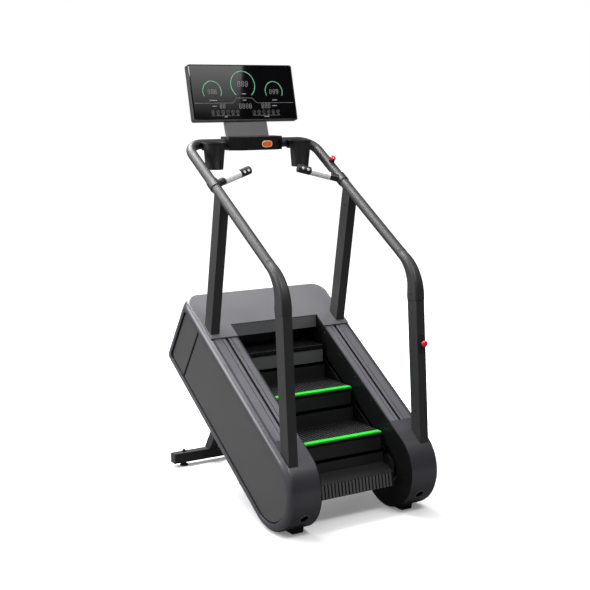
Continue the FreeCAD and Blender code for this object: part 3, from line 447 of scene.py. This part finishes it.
def row_tree():
    """Copies the object's own mesh along a straight line."""
    tree = bpy.data.node_groups.new("straight_row", "GeometryNodeTree")
    tree.interface.new_socket("Shape", in_out="INPUT", socket_type="NodeSocketGeometry")
    tree.interface.new_socket("Count", in_out="INPUT", socket_type="NodeSocketInt")
    tree.interface.new_socket("Step", in_out="INPUT", socket_type="NodeSocketVector")
    tree.interface.new_socket("Material", in_out="INPUT", socket_type="NodeSocketMaterial")
    tree.interface.new_socket("Row", in_out="OUTPUT", socket_type="NodeSocketGeometry")
    put = tree.nodes.new
    start, end = put("NodeGroupInput"), put("NodeGroupOutput")
    line, spread = put("GeometryNodeMeshLine"), put("GeometryNodeInstanceOnPoints")
    real, paint = put("GeometryNodeRealizeInstances"), put("GeometryNodeSetMaterial")
    join = tree.links.new
    join(start.outputs["Count"], line.inputs["Count"])
    join(start.outputs["Step"], line.inputs["Offset"])
    join(line.outputs["Mesh"], spread.inputs["Points"])
    join(start.outputs["Shape"], spread.inputs["Instance"])
    join(spread.outputs["Instances"], real.inputs["Geometry"])
    join(real.outputs["Geometry"], paint.inputs["Geometry"])
    join(start.outputs["Material"], paint.inputs["Material"])
    join(paint.outputs["Geometry"], end.inputs["Row"])
    return tree


straight_row = row_tree()


def row_of(mesh_data, count, step, material):
    """Plain mesh of count copies, each one step further on."""
    holder = bpy.data.objects.new("row", mesh_data)
    scene.collection.objects.link(holder)
    modifier = holder.modifiers.new("row", "NODES")
    modifier.node_group = straight_row
    set_input(modifier, straight_row, "Count", count)
    set_input(modifier, straight_row, "Step", step)
    set_input(modifier, straight_row, "Material", material)
    return baked(holder)


def joined(first, second, name):
    """One mesh from two."""
    shape = bmesh.new()
    shape.from_mesh(first)
    shape.from_mesh(second)
    return to_mesh(shape, name)


# The grey of the rib tops is a painted highlight; its scuffs are wear.
rib_grey = finish("rib_grey", (0.011, 0.011, 0.012), 0.42, grain=1800, bump=0.1, scuff=0.25, shine=0.5)
tread_black = finish("tread_black", (0.004, 0.004, 0.004), 0.6, grain=1800, bump=0.1, scuff=0.1, shine=0.1)
riser_black = finish("riser_black", (0.012, 0.012, 0.013), 0.42, grain=1500, bump=0.08, scuff=0.16,
                     shine=0.3)
# A lighter grey for the top step's apron and the turning step's ribs: painted light, a lit copy of the dark
# riser finish.
apron_grey = finish("apron_grey", (0.085, 0.085, 0.087), 0.4, grain=1500, bump=0.08, scuff=0.12)
# 25 grooves leave 24 equal ribs and two end bands.
rib_count, groove, end_band = 24, 0.008, 0.012
riser_height, tread_depth, rib_height, rib_highlight_depth = 0.070, 0.022, 0.008, 0.0011
bar_width, bar_depth, back_bar = 0.034, 0.012, 0.008
sheet, rib_ease = 0.004, 0.0005


def build_step(node, strip):
    """Black pan, folded apron and riser with a front bar, dark on the lower steps and lighter on the top
    step as painted light, and ribs with a grey top layer that is a painted highlight.
    """
    low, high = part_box(node)
    top = high.z - riser_height
    front, back, half = low.y, high.y, high.x
    start = front + (bar_width if strip else 0.0)
    pan = bmesh.new()
    pan_top = top - rib_height + 0.001
    add_box(pan, (-half, front + 0.0005, top - tread_depth), (half, back - 0.0005, pan_top), 0.001)
    piece(to_mesh(pan, node), node + "_pan", "stair_run", tread_black, [node])
    folded = bmesh.new()
    if strip:
        add_box(folded, (-half, front, top - bar_depth), (half, start, top), 0.0015)
    add_box(folded, (-half, back - back_bar, top - bar_depth), (half, back, top), 0.001)
    add_box(folded, (-half, front + sheet, low.z), (half, front + 2 * sheet, top - 0.010), 0.0008)
    add_box(folded, (-half, back - sheet, top - 0.010), (half, back, high.z), 0.0012)
    # The top step's folded sheet is painted lighter than the lower steps': painted light.
    coat = riser_black if strip else apron_grey
    piece(to_mesh(folded, node), node + "_folded", "stair_run", coat)
    pitch = 2 * (half - end_band) / rib_count
    x0 = -half + end_band + groove / 2
    end = back - back_bar + 0.0005
    # Each rib is black with a thin grey top layer, which is a painted highlight.
    for layer, low_z, high_z, paint in (("ribs", top - rib_height, top - rib_highlight_depth, tread_black),
                                        ("rib_tops", top - rib_highlight_depth, top, rib_grey)):
        rib = bmesh.new()
        add_box(rib, (x0, start, low_z), (x0 + pitch - groove, end, high_z), rib_ease)
        ribs = row_of(to_mesh(rib, "rib"), rib_count, (pitch, 0, 0), paint)
        bands = bmesh.new()
        add_box(bands, (-half, start, low_z), (x0 - groove, end, high_z), rib_ease)
        add_box(bands, (groove - x0, start, low_z), (half, end, high_z), rib_ease)
        rows = joined(ribs, to_mesh(bands, "bands"), node)
        piece(rows, node + "_" + layer, "stair_run", paint)


build_step("step_1", True)
build_step("step_2", True)
build_step("step_3", False)
edge_green = finish("edge_green", (0.012, 0.56, 0.025), 0.42, grain=1800, bump=0.06, scuff=0.1)
eased("nosing_strips", edge_green, 0.0008)
eased("step_axles", dark_oxide, 0.0008)
eased("turning_step", riser_black, 0.0005, 1)

# The step that turns round the lower sprockets shows the same ribs on its leaning front.
turn_low, turn_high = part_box("turning_step")
turn_pitch = 2 * (turn_high.x - end_band) / rib_count
turn_left = -turn_high.x + end_band + groove / 2
upper_edge = (turn_low.y + 0.0117, turn_low.z + 0.0722)
lower_edge = (turn_low.y - 0.0003, turn_low.z + 0.0048)
turn_rib = bmesh.new()
corners = []
for x in (turn_left, turn_left + turn_pitch - groove):
    for y, z in (upper_edge, lower_edge):
        corners.append(turn_rib.verts.new((x, y, z)))
        corners.append(turn_rib.verts.new((x, y + 0.003, z)))
bmesh.ops.convex_hull(turn_rib, input=corners)
# These ribs are painted lighter grey than the step behind them, as a painted highlight.
turn_ribs = row_of(to_mesh(turn_rib, "rib"), rib_count, (turn_pitch, 0, 0), apron_grey)
piece(turn_ribs, "turning_step_ribs", "lower_roll", apron_grey)
eased("returning_steps", riser_black, 0.001)

# ------------------------------------------------------------------ slanted housings
# Bent sheet bands painted satin charcoal, closed outside by moulded covers with a rounded
# rim and a flat let-in panel, and inside by near-black skirts beside the treads.
satin = finish("satin_charcoal", (0.050, 0.049, 0.058), 0.34, metal=0.3, grain=1700, bump=0.05, coat=0.2)
for node in ("housing_shell_left", "housing_shell_right"):
    eased(node, satin, 0.0018, 3)
for node in ("side_cover_left", "side_cover_right"):
    eased(node, satin, 0.0012, 2, sharp=40.0)
panel_grey = finish("panel_grey", (0.045, 0.045, 0.046), 0.42, grain=1500, bump=0.08)
# This near-black paint draws the dark panel joints and also paints shade into the rib strips' grooves.
seam_black = finish("seam_black", (0.003, 0.003, 0.003), 0.6, grain=1500, bump=0.05, shine=0.1)


def seamed(thing, plain, paint, width, sharp=32.0):
    """Draws a thin dark joint line round the outer face of each panel of a pair."""
    shape = bmesh.new()
    shape.from_mesh(thing.data)
    outermost = max(abs(vert.co.x) for vert in shape.verts)
    flat = [face for face in shape.faces if abs(face.calc_center_median().x) > outermost - 0.0001]
    bmesh.ops.inset_region(shape, faces=flat, thickness=width, use_even_offset=True, use_boundary=True)
    inside = set(flat)
    for face in shape.faces:
        face.material_index = 0 if face in inside else 1
    old = thing.data
    thing.data = shaded(shape, thing.name, sharp)
    bpy.data.meshes.remove(old)
    thing.data.materials.append(plain)
    thing.data.materials.append(paint)


seamed(eased("side_panels", panel_grey, 0.001, 1), panel_grey, seam_black, 0.006)
skirt_black = finish("skirt_black", (0.005, 0.005, 0.0055), 0.45, grain=1500, bump=0.06, scuff=0.2,
                     shine=0.15)
for node in ("inner_wall_left", "inner_wall_right"):
    eased(node, skirt_black, 0.0008, 1)
strip_grey = finish("strip_grey", (0.125, 0.123, 0.140), 0.34, metal=0.3, grain=1900, bump=0.04, coat=0.2)
# The sunk grooves of the rib strips get the near-black paint as painted shade.
shade_sunk_faces(eased("rib_strips", strip_grey, 0.0008), seam_black, off_slope.dot, 0.0009)

# ------------------------------------------------------------------ hood and closing panels
# One formed lid over the top of the stairs, screwed down, with a flat back panel that is
# louvred for air and a pan under the run.
hood_grey = finish("hood_charcoal", (0.15, 0.148, 0.158), 0.3, metal=0.35, grain=1700, bump=0.04, coat=0.3,
                   mottle=0.03, spread=0.02, scuff=0.01)
eased("hood", hood_grey, 0.0025, 3)
eased("rear_panel", panel_grey, 0.001)
eased("belly_pan", panel_grey, 0.0008)


# Louvres are drawn flat, then laid on the slope in the lower shaft's own frame.
louvre_face, louvre_depth, louvre_low, louvre_tall = 1.1502, 0.004, -0.08, 0.007
louvre_count, louvre_pitch, louvre_width = 8, 0.02, 0.15
louvre = bmesh.new()
for x0 in (-0.17, 0.02):
    low_corner = (x0, louvre_face - louvre_depth, louvre_low)
    high_corner = (x0 + louvre_width, louvre_face, louvre_low + louvre_tall)
    add_box(louvre, low_corner, high_corner, 0.0015)
slope_turn = Matrix.Rotation(math.atan2(up_slope.z, up_slope.y), 4, "X")
slope_place = Matrix.Translation((0, lower_axis.y, lower_axis.z))
bmesh.ops.transform(louvre, matrix=slope_place @ slope_turn, verts=louvre.verts)
vents = row_of(to_mesh(louvre, "louvre"), louvre_count, tuple(off_slope * louvre_pitch), panel_grey)
piece(vents, "rear_louvres", "machine", panel_grey)

# ------------------------------------------------------------------ posts, elbows and handrails
# Rectangular posts welded to the frame, cast elbows that turn them into the bent round
# rail, and a straight crossbar; all in fine-textured black powder coat.
tube_black = finish("tube_black", (0.014, 0.014, 0.015), 0.5, grain=1300, bump=0.14, coat=0.05)
for node in ("front_post_left", "front_post_right", "rear_post_left", "rear_post_right"):
    eased(node, tube_black, 0.004, 3)
for node in ("elbow_left", "elbow_right"):
    eased(node, tube_black, 0.0)
for node in ("handrail_left", "handrail_right", "crossbar"):
    eased(node, tube_black, 0.001)

# ------------------------------------------------------------------ cup holders and switch box
# Injection-moulded tapered cups hang from the rail beside a two-part box that is clamped
# round the crossbar and carries the stop button in a cream surround.
eased("cup_holder_left", moulded_black, 0.0012)
eased("cup_holder_right", moulded_black, 0.0012)
gloss_black = finish("gloss_black", (0.006, 0.006, 0.0065), 0.22, grain=2400, bump=0.03, coat=0.4)
eased("control_box", gloss_black, 0.003, 3)
stop_orange = finish("stop_orange", (0.95, 0.12, 0.02), 0.34, grain=1500, bump=0.03, coat=0.3)
eased("stop_button", stop_orange, 0.002, 3)


def close_rings(shape, rings):
    """Joins rings of corners, the last to the first, into a closed band."""
    for first, second in zip(rings, rings[1:] + rings[:1]):
        for i in range(len(first)):
            j = (i + 1) % len(first)
            shape.faces.new((first[i], first[j], second[j], second[i]))


def pill_ring(node, gap, width, lift, depth):
    """Flat ring that follows the round-ended outline of a button."""
    low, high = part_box(node)
    centre = (low + high) / 2
    reach, radius = (high.x - low.x) / 2, (high.z - low.z) / 2
    outline = []
    for side, first in ((1, -90.0), (-1, 90.0)):
        for i in range(17):
            angle = math.radians(first + 180.0 * i / 16)
            outline.append((side * (reach - radius), math.cos(angle), math.sin(angle)))
    shape = bmesh.new()
    rings = []
    for grow, back in ((gap, 0), (gap, 1), (width, 1), (width, 0)):
        y = low.y + lift + depth * back
        wide = radius + grow
        spots = [(centre.x + x + across * wide, y, centre.z + tall * wide) for x, across, tall in outline]
        rings.append([shape.verts.new(spot) for spot in spots])
    close_rings(shape, rings)
    return to_mesh(shape, "ring")


cream = finish("cream_ring", (0.95, 0.72, 0.40), 0.4, grain=1800, bump=0.03)
surround = pill_ring("stop_button", gap=0.0007, width=0.0042, lift=0.0022, depth=0.0024)
piece(surround, "stop_surround", "machine", cream)

# ------------------------------------------------------------------ display
# A glossy glass front in a thin dark frame with a moulded back, on a grey folded bracket.
# The graphics are thin printed layers on the glass: three arcs, figures, a rule and icons.
bracket_grey = finish("bracket_grey", (0.11, 0.11, 0.112), 0.45, grain=1300, bump=0.1)
eased("console_bracket", bracket_grey, 0.0012)
frame_grey = finish("frame_grey", (0.012, 0.012, 0.013), 0.42, grain=1800, bump=0.05)
eased("console_shell", frame_grey, 0.0015)
glass_black = finish("glass_black", (0.002, 0.002, 0.0025), 0.04, grain=20, bump=0.0, mottle=0.02,
                     spread=0.01, scuff=0.01)
eased("console_glass", glass_black, 0.0005, 1)

glass_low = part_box("console_glass")[0]
screen_lean = math.radians(13.7)
screen_up = Vector((0, math.sin(screen_lean), math.cos(screen_lean)))
screen_out = Vector((0, -math.cos(screen_lean), math.sin(screen_lean)))
glass_thick, print_gap, foot_drop = 0.005, 0.00035, 0.0092
screen_foot = Vector((0, glass_low.y, glass_low.z)) + screen_out * print_gap
screen_foot.z += glass_thick * math.sin(screen_lean)
screen_foot -= screen_up * foot_drop


def lit(name, colour, strength):
    """Printed graphic lit from behind, a little uneven."""
    material = finish(name, colour, 0.4, grain=1500, bump=0.01)
    shader = material.node_tree.nodes["Principled BSDF"]
    shader.inputs["Emission Color"].default_value = (*colour, 1.0)
    shader.inputs["Emission Strength"].default_value = strength
    return material


def on_screen(x, z, depth=0.0):
    """A point of the display, across, up and out from the middle of its lower edge."""
    return screen_foot + Vector((x, 0, 0)) + screen_up * z + screen_out * depth


ink = 0.0002


def screen_strip(shape, points, width):
    """Thin raised ribbon through a line of points on the display."""
    count = len(points)
    pairs = []
    for i in range(count):
        before = Vector(points[max(i - 1, 0)])
        after = Vector(points[min(i + 1, count - 1)])
        along = (after - before).normalized()
        across = Vector((-along.y, along.x)) * width / 2
        here = Vector(points[i])
        corners = []
        for side, depth in ((1, 0.0), (1, ink), (-1, ink), (-1, 0.0)):
            spot = here + across * side
            corners.append(shape.verts.new(on_screen(spot.x, spot.y, depth)))
        pairs.append(corners)
    for a, b in zip(pairs, pairs[1:]):
        for k in range(4):
            m = (k + 1) % 4
            shape.faces.new((a[k], a[m], b[m], b[k]))
    shape.faces.new(pairs[0])
    shape.faces.new(reversed(pairs[-1]))


def arc(x, z, radius, start, end, parts=48):
    """Points on part of a circle, between two angles in degrees."""
    angles = [math.radians(start + (end - start) * i / parts) for i in range(parts + 1)]
    return [(x + radius * math.cos(angle), z + radius * math.sin(angle)) for angle in angles]


# A tall white card stands where the left half of the glass mirrors it; it fades downwards.
card_far = 4.0


def mirrored_spot(x, z):
    """Where the line of sight to a point of the glass goes on to after the glass."""
    spot = on_screen(x, z)
    view = (camera.location - spot).normalized()
    return spot + (2 * screen_out.dot(view) * screen_out - view) * card_far


card_left, card_low, card_high = -0.40, -0.02, 0.34
edge_low, edge_high = -0.052, 0.022
outline = ((card_left, card_low), (edge_low, card_low), (edge_high, card_high), (card_left, card_high))
card_mesh = bpy.data.meshes.new("card")
card_mesh.from_pydata([mirrored_spot(x, z) for x, z in outline], [], [(0, 1, 2, 3)])
card_mesh.uv_layers.new(name="card")
for loop, place in zip(card_mesh.uv_layers["card"].data, ((0, 0), (1, 0), (1, 1), (0, 1))):
    loop.uv = place
card = bpy.data.objects.new("card", card_mesh)
scene.collection.objects.link(card)
card_paint = bpy.data.materials.new("card")
card_paint.use_nodes = True
card_nodes, card_links = card_paint.node_tree.nodes, card_paint.node_tree.links
card_shader = card_nodes["Principled BSDF"]
card_shader.inputs["Base Color"].default_value = (0.0, 0.0, 0.0, 1.0)
card_shader.inputs["Emission Color"].default_value = (1.0, 1.0, 1.0, 1.0)
across_card = card_nodes.new("ShaderNodeTexCoord")
card_split = card_nodes.new("ShaderNodeSeparateXYZ")
fade = card_nodes.new("ShaderNodeMapRange")
fade.inputs["From Min"].default_value = 0.15
fade.inputs["To Min"].default_value = 0.1
fade.inputs["To Max"].default_value = 3.6
card_links.new(across_card.outputs["UV"], card_split.inputs[0])
card_links.new(card_split.outputs["Y"], fade.inputs["Value"])
card_links.new(fade.outputs["Result"], card_shader.inputs["Emission Strength"])
card_mesh.materials.append(card_paint)

dial_side, dial_height, dial_width = 0.190, 0.160, 0.0031
arcs = bmesh.new()
screen_strip(arcs, arc(-dial_side, dial_height, 0.055, -27, 207), dial_width)
screen_strip(arcs, arc(0.0, 0.196, 0.073, -50, 230), 0.0035)
screen_strip(arcs, arc(0.188, dial_height, 0.053, -27, 207), dial_width)
piece(to_mesh(arcs, "display_arcs"), "display_arcs", "machine", lit("arc_green", (0.12, 0.42, 0.23), 0.6))


def figure(shape, x, z, height):
    """One seven-segment eight, slightly slanted."""
    wide, thick, lean = height * 0.5, height * 0.07, 0.08

    def spot(across, level):
        rise = (level - 0.5) * height
        return (x + across * wide + rise * lean, z + rise)

    for level in (0.0, 0.5, 1.0):
        screen_strip(shape, [spot(-0.36, level), spot(0.36, level)], thick)
    for across in (-0.5, 0.5):
        for low, high in ((0.07, 0.43), (0.57, 0.93)):
            screen_strip(shape, [spot(across, low), spot(across, high)], thick)


def number(shape, x, z, height, digits):
    """A row of eights round a middle."""
    step = height * 0.86
    for i in range(digits):
        figure(shape, x + (i - (digits - 1) / 2) * step, z, height)


# Three numbers in the dials and three in the row under the rule: place, height and digits.
lower_row = 0.080
figures = bmesh.new()
number(figures, -dial_side, 0.158, 0.023, 3)
number(figures, 0.0, 0.200, 0.027, 3)
number(figures, 0.188, 0.158, 0.024, 3)
number(figures, -0.138, lower_row, 0.021, 2)
number(figures, 0.0, lower_row, 0.024, 4)
number(figures, 0.128, lower_row, 0.023, 3)
figure_grey = lit("figure_grey", (0.28, 0.26, 0.26), 0.45)
piece(to_mesh(figures, "display_figures"), "display_figures", "machine", figure_grey)

# The rule steps up round the middle dial; short bars stand for the captions.
rule_low, rule_high, rule_end = 0.097, 0.124, 0.300
rule = [(-rule_end, rule_low), (-0.074, rule_low), (-0.046, rule_high)]
rule += [(-x, z) for x, z in reversed(rule)]
caption_width, caption_line = 0.0036, 0.112
marks = bmesh.new()
screen_strip(marks, rule, 0.0011)
for x, z, wide in ((-dial_side, caption_line, 0.046), (0.0, 0.146, 0.024), (0.0, caption_line, 0.022),
                   (0.188, caption_line, 0.030), (-0.186, 0.081, 0.026), (0.182, 0.081, 0.028),
                   (-0.125, 0.023, 0.018), (0.125, 0.023, 0.030)):
    screen_strip(marks, [(x - wide / 2, z), (x + wide / 2, z)], caption_width)

# Two rows of six ringed icons, each with a sloping bar, a foot line and a common base line.
icon_first, icon_pitch, icon_centre, icon_radius = 0.050, 0.030, 0.049, 0.0088
for side in (-1, 1):
    screen_strip(marks, [(side * 0.210, 0.029), (side * 0.040, 0.029)], 0.0008)
    for i in range(6):
        x = side * (icon_first + icon_pitch * i)
        slope = 0.003 if i % 2 == 0 else -0.003
        screen_strip(marks, arc(x, icon_centre, icon_radius, 0, 345, 24), 0.0006)
        screen_strip(marks, [(x - 0.004, icon_centre - slope), (x + 0.004, icon_centre + slope)], 0.0009)
        screen_strip(marks, [(x - 0.007, 0.0345), (x + 0.007, 0.0345)], 0.0011)
mark_white = lit("mark_white", (0.3, 0.3, 0.3), 0.35)
piece(to_mesh(marks, "display_marks"), "display_marks", "machine", mark_white)

# ------------------------------------------------------------------ hand grips
# Short arms welded to the rail carry two bright pulse plates on a black core, a moulded end
# piece and two small sprung buttons.
eased("grip_arms", moulded_black, 0.001)
bright_plate = finish("bright_plate", (0.93, 0.93, 0.94), 0.28, metal=0.2, grain=600, bump=0.03, scuff=0.1)
eased("grip_plates", bright_plate, 0.0005, 1)
eased("grip_ends", moulded_black, 0.0008)
button_pale = finish("button_pale", (0.75, 0.75, 0.74), 0.35, grain=1500, bump=0.02)
for side in ("left", "right"):
    for i in (1, 2):
        eased(f"grip_button_{i}_{side}", button_pale, 0.0006)

# ------------------------------------------------------------------ emergency knobs
# Red mushroom caps on black screwed bases, one on the rail and one on the right post, where
# a moulded oval plate lies between the base and the tube.
eased("emergency_bases", moulded_black, 0.0008)
knob_red = finish("knob_red", (0.72, 0.012, 0.03), 0.26, grain=1500, bump=0.02, coat=0.5)
eased("emergency_knob_rail", knob_red, 0.0008)
eased("emergency_knob_post", knob_red, 0.0008)

knob_low, knob_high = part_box("emergency_knob_post")
knob_spot = (knob_low + knob_high) / 2
press = Vector(next(joint["axis"] for joint in frame["record"]["behaviour"]["joints"]
                    if joint["name"] == "post_knob_press"))
post_up = Vector((1, 0, 0)).cross(press)
post_mesh = frame["nodes"]["front_post_right"].data
face_level = min(vert.co.dot(press) for vert in post_mesh.vertices)
seat = knob_spot + press * (face_level - knob_spot.dot(press))
plate_half, plate_straight, plate_sides = 0.019, 0.022, 48
plate = bmesh.new()
for out, trim in ((-0.0002, 0.0), (0.0016, 0.0), (0.0022, 0.0012)):
    for i in range(plate_sides):
        angle = 2 * math.pi * i / plate_sides
        rise = math.sin(angle) * (plate_half - trim) + math.copysign(plate_straight, math.sin(angle))
        corner = Vector((math.cos(angle) * (plate_half - trim), 0, 0)) + post_up * rise
        plate.verts.new(seat + corner - press * out)
bmesh.ops.convex_hull(plate, input=plate.verts)
piece(to_mesh(plate, "plate"), "post_knob_plate", "machine", gloss_black)

# ------------------------------------------------------------------ screws and bolts
# Blackened button-head bolts on the posts, hexagon tension screws behind the round ports,
# and a row of small pan-head screws with raised crosses in each inner skirt.
black_screw = finish("black_screw", (0.05, 0.05, 0.052), 0.34, metal=0.9, grain=900, bump=0.05)
eased("fasteners", black_screw, 0.0006)


def screw_mesh(spot, out, radius, height):
    """Pan-head screw with a cross on its head, seated at a point."""
    shape = bmesh.new()
    bmesh.ops.create_cone(shape, cap_ends=True, segments=20, radius1=radius, radius2=radius * 0.82,
                          depth=height, matrix=Matrix.Translation((0, 0, height / 2)))
    bar = Matrix.Diagonal((radius * 1.1, radius * 0.22, height * 0.12, 1.0))
    for angle in (0, math.pi / 2):
        place = Matrix.Translation((0, 0, height)) @ Matrix.Rotation(angle, 4, "Z") @ bar
        bmesh.ops.create_cube(shape, size=1.0, matrix=place)
    turn = Vector(out).to_track_quat("Z", "Y").to_matrix().to_4x4()
    bmesh.ops.transform(shape, matrix=Matrix.Translation(spot) @ turn, verts=shape.verts)
    return to_mesh(shape, "screw")


# Moulded grommets line the two round ports in the rounded ends.
port_lane, round_end, port_radius, grommet_sides = 0.340, 0.205, 0.023, 40
bore, flange, sunk = port_radius - 0.0005, port_radius + 0.0045, -0.004
for side, word in ((-1, "left"), (1, "right")):
    grommet = bmesh.new()
    rings = []
    for radius, out in ((bore, sunk), (bore, 0.0012), (flange, 0.0006), (flange, sunk)):
        ring = []
        for i in range(grommet_sides):
            angle = 2 * math.pi * i / grommet_sides
            across, tall = radius * math.cos(angle), radius * math.sin(angle)
            sink = round_end - math.sqrt(round_end ** 2 - tall ** 2)
            spot = Vector((side * port_lane + across, lower_axis.y, lower_axis.z)) + off_slope * tall
            ring.append(grommet.verts.new(spot - up_slope * (round_end + out - sink)))
        rings.append(ring)
    close_rings(grommet, rings)
    piece(to_mesh(grommet, "grommet"), "port_grommet_" + word, "machine", strip_grey)

# Screws stand in a row along the upper edge of each skirt.
wall_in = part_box("inner_wall_right")[0].x
row_start, row_line, screw_pitch, screw_count = 0.12, 0.182, 0.17, 5
for side, word in ((-1, "left"), (1, "right")):
    spot = Vector((side * (wall_in - 0.0001), lower_axis.y, lower_axis.z)) + off_slope * row_line
    spot += up_slope * row_start
    screw = screw_mesh(spot, (-side, 0, 0), 0.005, 0.0014)
    row = row_of(screw, screw_count, tuple(up_slope * screw_pitch), black_screw)
    piece(row, "skirt_screws_" + word, "machine", black_screw)
